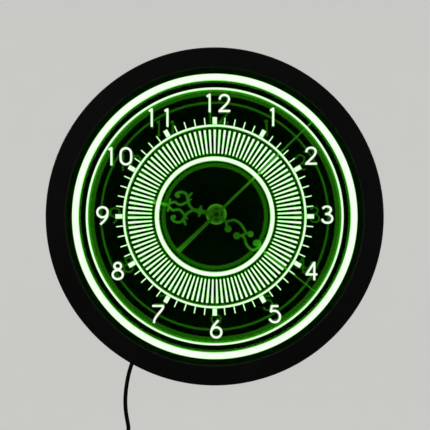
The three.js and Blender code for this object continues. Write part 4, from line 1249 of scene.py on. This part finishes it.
class CLOCK_OT_dial(bpy.types.Operator):
    """Makes the acrylic disc and the lit engraving in its front face"""

    bl_idname = "clock.dial"
    bl_label = "Dial and engraving"

    def execute(self, context):
        settings = context.scene.clock_dial
        bm = spun(
            [
                (0, ACRYLIC_FRONT),
                (ACRYLIC_RADIUS, ACRYLIC_FRONT),
                (ACRYLIC_RADIUS, ACRYLIC_BACK),
                (0, ACRYLIC_BACK),
            ]
        )
        piece("acrylic_disc", bm, cast_acrylic(), "case", ["acrylic_dial"], DIAL)

        lit = lit_engraving()
        front = ACRYLIC_FRONT + SKIN
        back = front + settings.engraving_depth
        bm = bmesh.new()
        for inner, outer, flank in RINGS:
            cut_ring(bm, inner * MM, outer * MM, flank * MM, front, back)
        lit_piece("engraved_rings", bm, lit)

        bm = bmesh.new()
        half = TURN / settings.bar_count / 4
        bar = wedge(
            bm,
            settings.bar_inner,
            settings.bar_outer,
            settings.bar_inner * half,
            settings.bar_outer * half,
            0.35 * MM,
            front,
            back,
        )
        around(bm, bar, settings.bar_count)
        lit_piece("engraved_bars", bm, lit)

        bm = bmesh.new()
        reach = settings.tick_reach
        minute_ticks = []
        for minute in range(1, 5):
            tick = wedge(bm, TICK_FOOT, reach, 0.6 * MM, 0.55 * MM, 0.25 * MM, front, back)
            bmesh.ops.rotate(
                bm,
                verts=tick,
                cent=(0, 0, 0),
                matrix=Matrix.Rotation(math.radians(6 * minute), 3, "Y"),
            )
            minute_ticks += tick
        reach += HOUR_TICK_EXTRA
        hour_tick = wedge(bm, TICK_FOOT, reach, 2.1 * MM, 2.1 * MM, 0.4 * MM, front, back)
        around(bm, minute_ticks + hour_tick, 12)
        lit_piece("engraved_ticks", bm, lit)

        bm = bmesh.new()
        stroke = settings.numeral_stroke
        for figure, x, z in NUMERALS:
            for points in FIGURES[figure]:
                add_stroke(
                    bm,
                    points,
                    stroke,
                    settings.engraving_depth / stroke,
                    (x, z),
                    (front + back) / 2,
                )
        lit_piece("engraved_numerals", bm, lit)
        return {"FINISHED"}


class CLOCK_OT_plate(bpy.types.Operator):
    """Makes the gloss black dial plate with its hole for the movement's bush"""

    bl_idname = "clock.plate"
    bl_label = "Dial plate"

    def execute(self, context):
        facing_front = Matrix.Rotation(math.pi / 2, 4, "X")
        bm = bmesh.new()
        for radius, centre in [((PLATE_HIGH.x - PLATE_LOW.x) / 2, DIAL), (BUSH_HOLE, HUB)]:
            at = Matrix.Translation((centre.x, PLATE_FRONT, centre.z)) @ facing_front
            bmesh.ops.create_circle(bm, segments=FINE_STEPS, radius=radius, matrix=at)
        face = bmesh.ops.bridge_loops(bm, edges=bm.edges)["faces"]
        back_edges = bmesh.ops.extrude_face_region(bm, geom=face, use_keep_orig=True)["geom"]
        moved = [v for v in back_edges if isinstance(v, bmesh.types.BMVert)]
        bmesh.ops.translate(bm, verts=moved, vec=(0, PLATE_BACK - PLATE_FRONT, 0))
        bmesh.ops.recalc_face_normals(bm, faces=bm.faces)
        piece(
            "gloss_dial_plate",
            bm,
            gloss_black_sheet(),
            "case",
            ["dial_plate"],
        )
        return {"FINISHED"}


class CLOCK_OT_light(bpy.types.Operator):
    """Makes the carrier ring round the acrylic and the light strip in it"""

    bl_idname = "clock.light"
    bl_label = "Light carrier and strip"

    def execute(self, context):
        dark = moulded_abs("moulded_abs_light_trap", linear("#050505"), (0.8, 0.9))
        inner = ACRYLIC_RADIUS - 2 * MM
        wall = 2.4 * MM
        outer = ACRYLIC_RADIUS + 4.9 * MM
        shelf = ACRYLIC_BACK + GAP
        plate_side = PLATE_FRONT - GAP
        bm = spun(
            [
                (inner, shelf),
                (outer - wall, shelf),
                (outer - wall, ACRYLIC_FRONT),
                (outer, ACRYLIC_FRONT),
                (outer, shelf + wall),
                (inner + wall, shelf + wall),
                (inner + wall, plate_side),
                (inner, plate_side),
            ]
        )
        piece("light_carrier", bm, dark, "case", ["led_carrier_ring"], DIAL)
        tape_low, tape_high = extent("led_strip")
        tape_outer = (tape_high.x - tape_low.x) / 2
        tape = tape_outer - TAPE_THICK
        bm = spun(
            [
                (tape, tape_low.y),
                (tape_outer, tape_low.y),
                (tape_outer, tape_high.y),
                (tape, tape_high.y),
            ]
        )
        chip = block(
            bm,
            (-CHIP_HALF, tape_low.y + CHIP_EDGE, tape - CHIP_HEIGHT),
            (CHIP_HALF, tape_high.y - CHIP_EDGE, tape + 0.1 * MM),
        )
        around(bm, chip, CHIP_COUNT)
        piece(
            "led_strip_chips",
            bm,
            soft_plastic("solder_mask_white", linear("#D8E8D8")),
            "case",
            ["led_strip"],
            DIAL,
        )
        dress(soft_plastic("hook_up_wire_red", linear("#7A1410")), "led_lead")
        return {"FINISHED"}


# ---------------------------------------------------------------- hands

HUB_DISC = 4.4 * MM  # burnished middle of each hand
BLADE_CORNERS = 12  # a hand's broad faces have at least this many corners, its hub's facets fewer
# the washer's section, in millimetres: radius and rise from its back
WASHER_SECTION = [
    (BUSH_HOLE / MM, 0),
    (BUSH_HOLE / MM, 0.6),
    (6.7, 0.6),
    (8.15, 1.73),
    (8.45, 1.73),
    (9.8, 0.73),
    (9.8, 0),
]


class CLOCK_OT_hands(bpy.types.Operator):
    """Makes the three stamped metal hands with softened edges"""

    bl_idname = "clock.hands"
    bl_label = "Hands"

    def execute(self, context):
        # stamped aluminium, satin lacquered: a soft, nearly even tone, brighter along its edges;
        # its greenish grey tint is painted green light from the engraving
        metal = worked_metal(
            "satin_lacquered_aluminium",
            linear("#9EAA8B"),
            (0.5, 0.65),
            size=0.3 * MM,
            metallic=0.12,
            coat=0.5,
            specular=0.15,
        )
        # burnished aluminium: the hubs mirror the dark middle of the dial and flash on their edges
        polished = worked_metal("burnished_aluminium_hub", linear("#C8CCC4"), (0.1, 0.18))
        for node_name, name, body in [
            ("hour_hand", "ornate_hour_hand", "hour_arbor"),
            ("minute_hand", "ornate_minute_hand", "minute_arbor"),
            ("second_hand", "sweep_second_hand", "seconds_arbor"),
        ]:
            bm = frame_copy(node_name, 0.27 * MM, 3)
            for face in bm.faces:
                from_axis = face.calc_center_median() - HUB
                near = math.hypot(from_axis.x, from_axis.z) < HUB_DISC
                if near and len(face.verts) < BLADE_CORNERS:
                    face.material_index = 1
            piece(name, bm, [metal, polished], body, [node_name])
        return {"FINISHED"}


class CLOCK_OT_fixing(bpy.types.Operator):
    """Makes the ridged washer and the nut that hold the movement to the dial plate"""

    bl_idname = "clock.fixing"
    bl_label = "Washer and nut"

    def execute(self, context):
        # turned brass, left bright from the tool: a yellow metal that mirrors the dark round it
        brass = worked_metal("turned_brass", linear("#C9A95C"), (0.18, 0.3))
        # bead-blasted and lacquered brass: pale, so that it takes on the colour of the light
        pale = worked_metal("blasted_brass_washer", linear("#F4EAC4"), (0.2, 0.35), metallic=0.15)
        back = extent("bush_washer")[1].y
        corners = [(radius * MM, back - rise * MM) for radius, rise in WASHER_SECTION]
        bm = spun(corners, 96)
        for corner in (3, 4, 5, 2):
            rounded(bm, circle_edges(bm, *corners[corner]), 0.14 * MM, 2)
        piece("ridged_washer", bm, pale, "case", ["bush_washer"], HUB)
        bm = frame_copy("bush_nut", 0.3 * MM, 3)
        piece("hexagon_nut", bm, brass, "case", ["bush_nut"])
        dress(brass, "cannon_pipe")
        return {"FINISHED"}


# ---------------------------------------------------------------- movement


class CLOCK_OT_movement(bpy.types.Operator):
    """Finishes the quartz movement: its shell, cell, contacts, gears, coil and setting knob"""

    bl_idname = "clock.movement"
    bl_label = "Movement"

    def execute(self, context):
        shell = moulded_abs("moulded_abs_movement", linear("#141414"), (0.4, 0.55))
        bm = frame_copy("movement_case", 0.25 * MM, 2)
        piece("movement_shell", bm, shell, "case", ["movement_case"])
        dress(shell, "movement_lid")

        # raised marks on the back: which way the cell goes in, and how the setting wheel turns
        back = extent("movement_case")[1].y
        cell = middle("battery_cell")
        wheel = middle("setting_knob")
        marks_z = (cell.z - HUB.z) / MM + 10.6
        arc = ellipse((wheel.x - HUB.x) / MM, (wheel.z - HUB.z) / MM, 8.4, 8.4, 30, 110, 12)
        tip_x, tip_z = arc[-1]
        bm = bmesh.new()
        for points in [
            [(18.5, marks_z), (22.5, marks_z)],
            [(20.5, marks_z - 2), (20.5, marks_z + 2)],
            [(-22.5, marks_z), (-18.5, marks_z)],
            arc,
            [(tip_x + 0.2, tip_z), (tip_x + 2.4, tip_z - 0.2)],
            [(tip_x + 0.2, tip_z), (tip_x + 0.9, tip_z + 2.2)],
        ]:
            add_stroke(bm, points, 0.8 * MM, 0.6, (0, 0), back)
        piece("moulded_marks", bm, shell, "case", place=HUB)

        # acetal: a milky white with a waxy sheen
        acetal = soft_plastic("moulded_acetal_white", linear("#D8D8D0"))
        dress(
            acetal,
            "hour_wheel",
            "motion_wheel",
            "minute_drive_wheel",
            "intermediate_wheel",
            "seconds_wheel",
            "third_wheel",
            "train_plate",
        )
        bm = frame_copy("setting_knob", 0.12 * MM, 2)
        piece("knurled_setting_wheel", bm, acetal, "setting_knob", ["setting_knob"])

        # nickel plate: warmer and softer than the zinc
        nickel = worked_metal("nickel_plated_strip", linear("#B8B6B0"))
        dress(nickel, "stator", "rotor")
        for end in ("minus", "plus"):
            bm = frame_copy(f"battery_contact_{end}", 0.1 * MM, 2)
            replaced = [f"battery_contact_{end}"]
            piece(f"cell_contact_{end}", bm, nickel, "case", replaced)
        dress(wound_wire(), "drive_coil")
        # glass-epoxy board under green solder mask
        dress(soft_plastic("solder_masked_board", linear("#1F5B35"), (0.25, 0.4)), "circuit_board")

        low, high = extent("battery_cell")
        radius = (high.z - low.z) / 2
        half = (high.x - low.x) / 2
        nub = half - CELL_NUB
        lip = radius - 1.5 * MM
        sleeve = spun(
            [
                (0, 0.5 * MM - half),
                (lip, 0.5 * MM - half),
                (lip, -half),
                (radius, -half),
                (radius, nub),
                (lip, nub),
                (lip, nub - 0.4 * MM),
                (0, nub - 0.4 * MM),
            ],
            48,
        )
        for y in (-half, nub):
            rounded(sleeve, circle_edges(sleeve, radius, y), 0.5 * MM, 3)
        cap = radius - 1.6 * MM
        caps = spun(
            [
                (0, nub - 0.6 * MM),
                (cap, nub - 0.6 * MM),
                (cap, nub - 0.1 * MM),
                (2.7 * MM, nub - 0.1 * MM),
                (2.4 * MM, half),
                (0, half),
            ],
            40,
        )
        low_y, high_y = 0.1 * MM - half, 1 * MM - half
        spun([(0, low_y), (cap, low_y), (cap, high_y), (0, high_y)], 40, caps)
        along_x = Matrix.Rotation(-math.pi / 2, 3, "Z")
        for bm in (sleeve, caps):
            bmesh.ops.rotate(bm, verts=bm.verts, cent=(0, 0, 0), matrix=along_x)
        film = printed_sleeve()
        piece("cell_sleeve", sleeve, film, "case", ["battery_cell"], cell)
        piece("cell_ends", caps, nickel, "case", place=cell)
        return {"FINISHED"}


# ---------------------------------------------------------------- switch and plug


class CLOCK_OT_fittings(bpy.types.Operator):
    """Makes the inline switch, the plug and the tie on the lead"""

    bl_idname = "clock.fittings"
    bl_label = "Switch, plug and tie"

    def execute(self, context):
        black = moulded_abs("moulded_abs_switch", linear("#0E0E0E"), (0.42, 0.55))
        for half in ("front", "back"):
            bm = frame_copy(f"switch_{half}_shell", 0.55 * MM, 3)
            replaced = [f"switch_{half}_shell"]
            piece(f"switch_shell_{half}", bm, black, "case", replaced)

        # the thumb slider: a rounded button with three grip ribs on its plate
        low, high = extent("switch_slider")
        at = (low + high) / 2
        plate = high.y - 1.2 * MM
        half_width, half_height = 2.2 * MM, 2.8 * MM
        rib_width, rib_half, rib_pitch = 2.0 * MM, 0.45 * MM, 1.9 * MM
        bm = bmesh.new()
        block(bm, (low.x, plate, low.z), (high.x, high.y, high.z))
        block(
            bm,
            (at.x - half_width, low.y + 0.6 * MM, at.z - half_height),
            (at.x + half_width, plate, at.z + half_height),
        )
        for step in (-1, 0, 1):
            rib = at.z + step * rib_pitch
            block(
                bm,
                (at.x - rib_width, low.y, rib - rib_half),
                (at.x + rib_width, low.y + 0.7 * MM, rib + rib_half),
            )
        rounded(bm, list(bm.edges), 0.18 * MM, 2)
        acetal = soft_plastic("moulded_acetal_slider", linear("#D0D0C8"))
        piece("ribbed_slider", bm, acetal, "switch_slider", ["switch_slider"])

        # the plug: PVC moulded over the shell's root, with grip ribs and a ribbed relief
        low, high = extent("plug_body")
        at = (low + high) / 2
        grip_first, grip_pitch = 13.5 * MM, 2.4 * MM
        overmould = soft_plastic("overmoulded_pvc_black", linear("#0C0C0C"), (0.45, 0.6))
        bm = frame_copy("plug_body", 0.12 * MM, 2)
        for step in range(4):
            drop = (1.4 + 1.9 * step) * MM
            radius = (2.9 + 0.17 * step) * MM
            bore, side = 2.2 * MM, 0.45 * MM
            rib = spun([(bore, -side), (radius, -side), (radius, side), (bore, side)], 32)
            rounded(rib, circle_edges(rib, radius, side), 0.2 * MM, 2)
            rounded(rib, circle_edges(rib, radius, -side), 0.2 * MM, 2)
            bmesh.ops.rotate(
                rib, verts=rib.verts, cent=(0, 0, 0), matrix=Matrix.Rotation(math.pi / 2, 3, "X")
            )
            bmesh.ops.translate(rib, verts=rib.verts, vec=(at.x, at.y, high.z - drop))
            mesh = bpy.data.meshes.new("relief_rib")
            rib.to_mesh(mesh)
            rib.free()
            bm.from_mesh(mesh)
            bpy.data.meshes.remove(mesh)
        for step in range(4):
            rise = high.z - grip_first - grip_pitch * step
            for face in (low.y, high.y):
                start = len(bm.edges)
                block(
                    bm,
                    (at.x - 5.2 * MM, face - 0.2 * MM, rise - 0.5 * MM),
                    (at.x + 5.2 * MM, face + 0.2 * MM, rise + 0.5 * MM),
                )
                bm.edges.ensure_lookup_table()
                rounded(bm, bm.edges[start:], 0.12 * MM, 2)
        piece("overmoulded_plug", bm, overmould, "case", ["plug_body"])
        nickel = worked_metal("nickel_plated_shell", linear("#C0C0BC"), (0.2, 0.32))
        bm = frame_copy("plug_shell", 0.08 * MM, 2)
        piece("plug_contact_shell", bm, nickel, "case", ["plug_shell"])

        bm = frame_copy("cord_tie", 0.3 * MM, 2)
        piece("woven_tie", bm, woven_tape(), "case", ["cord_tie"])
        return {"FINISHED"}


# ---------------------------------------------------------------- panel and start


class CLOCK_PT_panel(bpy.types.Panel):
    """Lists the clock's pieces in the order they are made"""

    bl_idname = "CLOCK_PT_panel"
    bl_label = "Edge-lit wall clock"
    bl_space_type = "VIEW_3D"
    bl_region_type = "UI"
    bl_category = "Clock"

    def draw(self, context):
        for maker in MAKERS:
            self.layout.operator(maker.bl_idname)
        for name in SETTINGS:
            box = self.layout.box()
            settings = getattr(context.scene, name)
            for key in type(settings).__annotations__:
                box.prop(settings, key)


MAKERS = [
    CLOCK_OT_stage,
    CLOCK_OT_lead,
    CLOCK_OT_case,
    CLOCK_OT_dial,
    CLOCK_OT_plate,
    CLOCK_OT_light,
    CLOCK_OT_hands,
    CLOCK_OT_fixing,
    CLOCK_OT_movement,
    CLOCK_OT_fittings,
]


def register():
    for kind in [*SETTINGS.values(), *MAKERS, CLOCK_PT_panel]:
        bpy.utils.register_class(kind)
    for name, kind in SETTINGS.items():
        setattr(bpy.types.Scene, name, PointerProperty(type=kind))


def unregister():
    for name in SETTINGS:
        delattr(bpy.types.Scene, name)
    for kind in reversed([*SETTINGS.values(), *MAKERS, CLOCK_PT_panel]):
        bpy.utils.unregister_class(kind)


def main():
    register()
    for maker in MAKERS:
        group, action = maker.bl_idname.split(".")
        getattr(getattr(bpy.ops, group), action)()


if __name__ == "__main__":
    main()
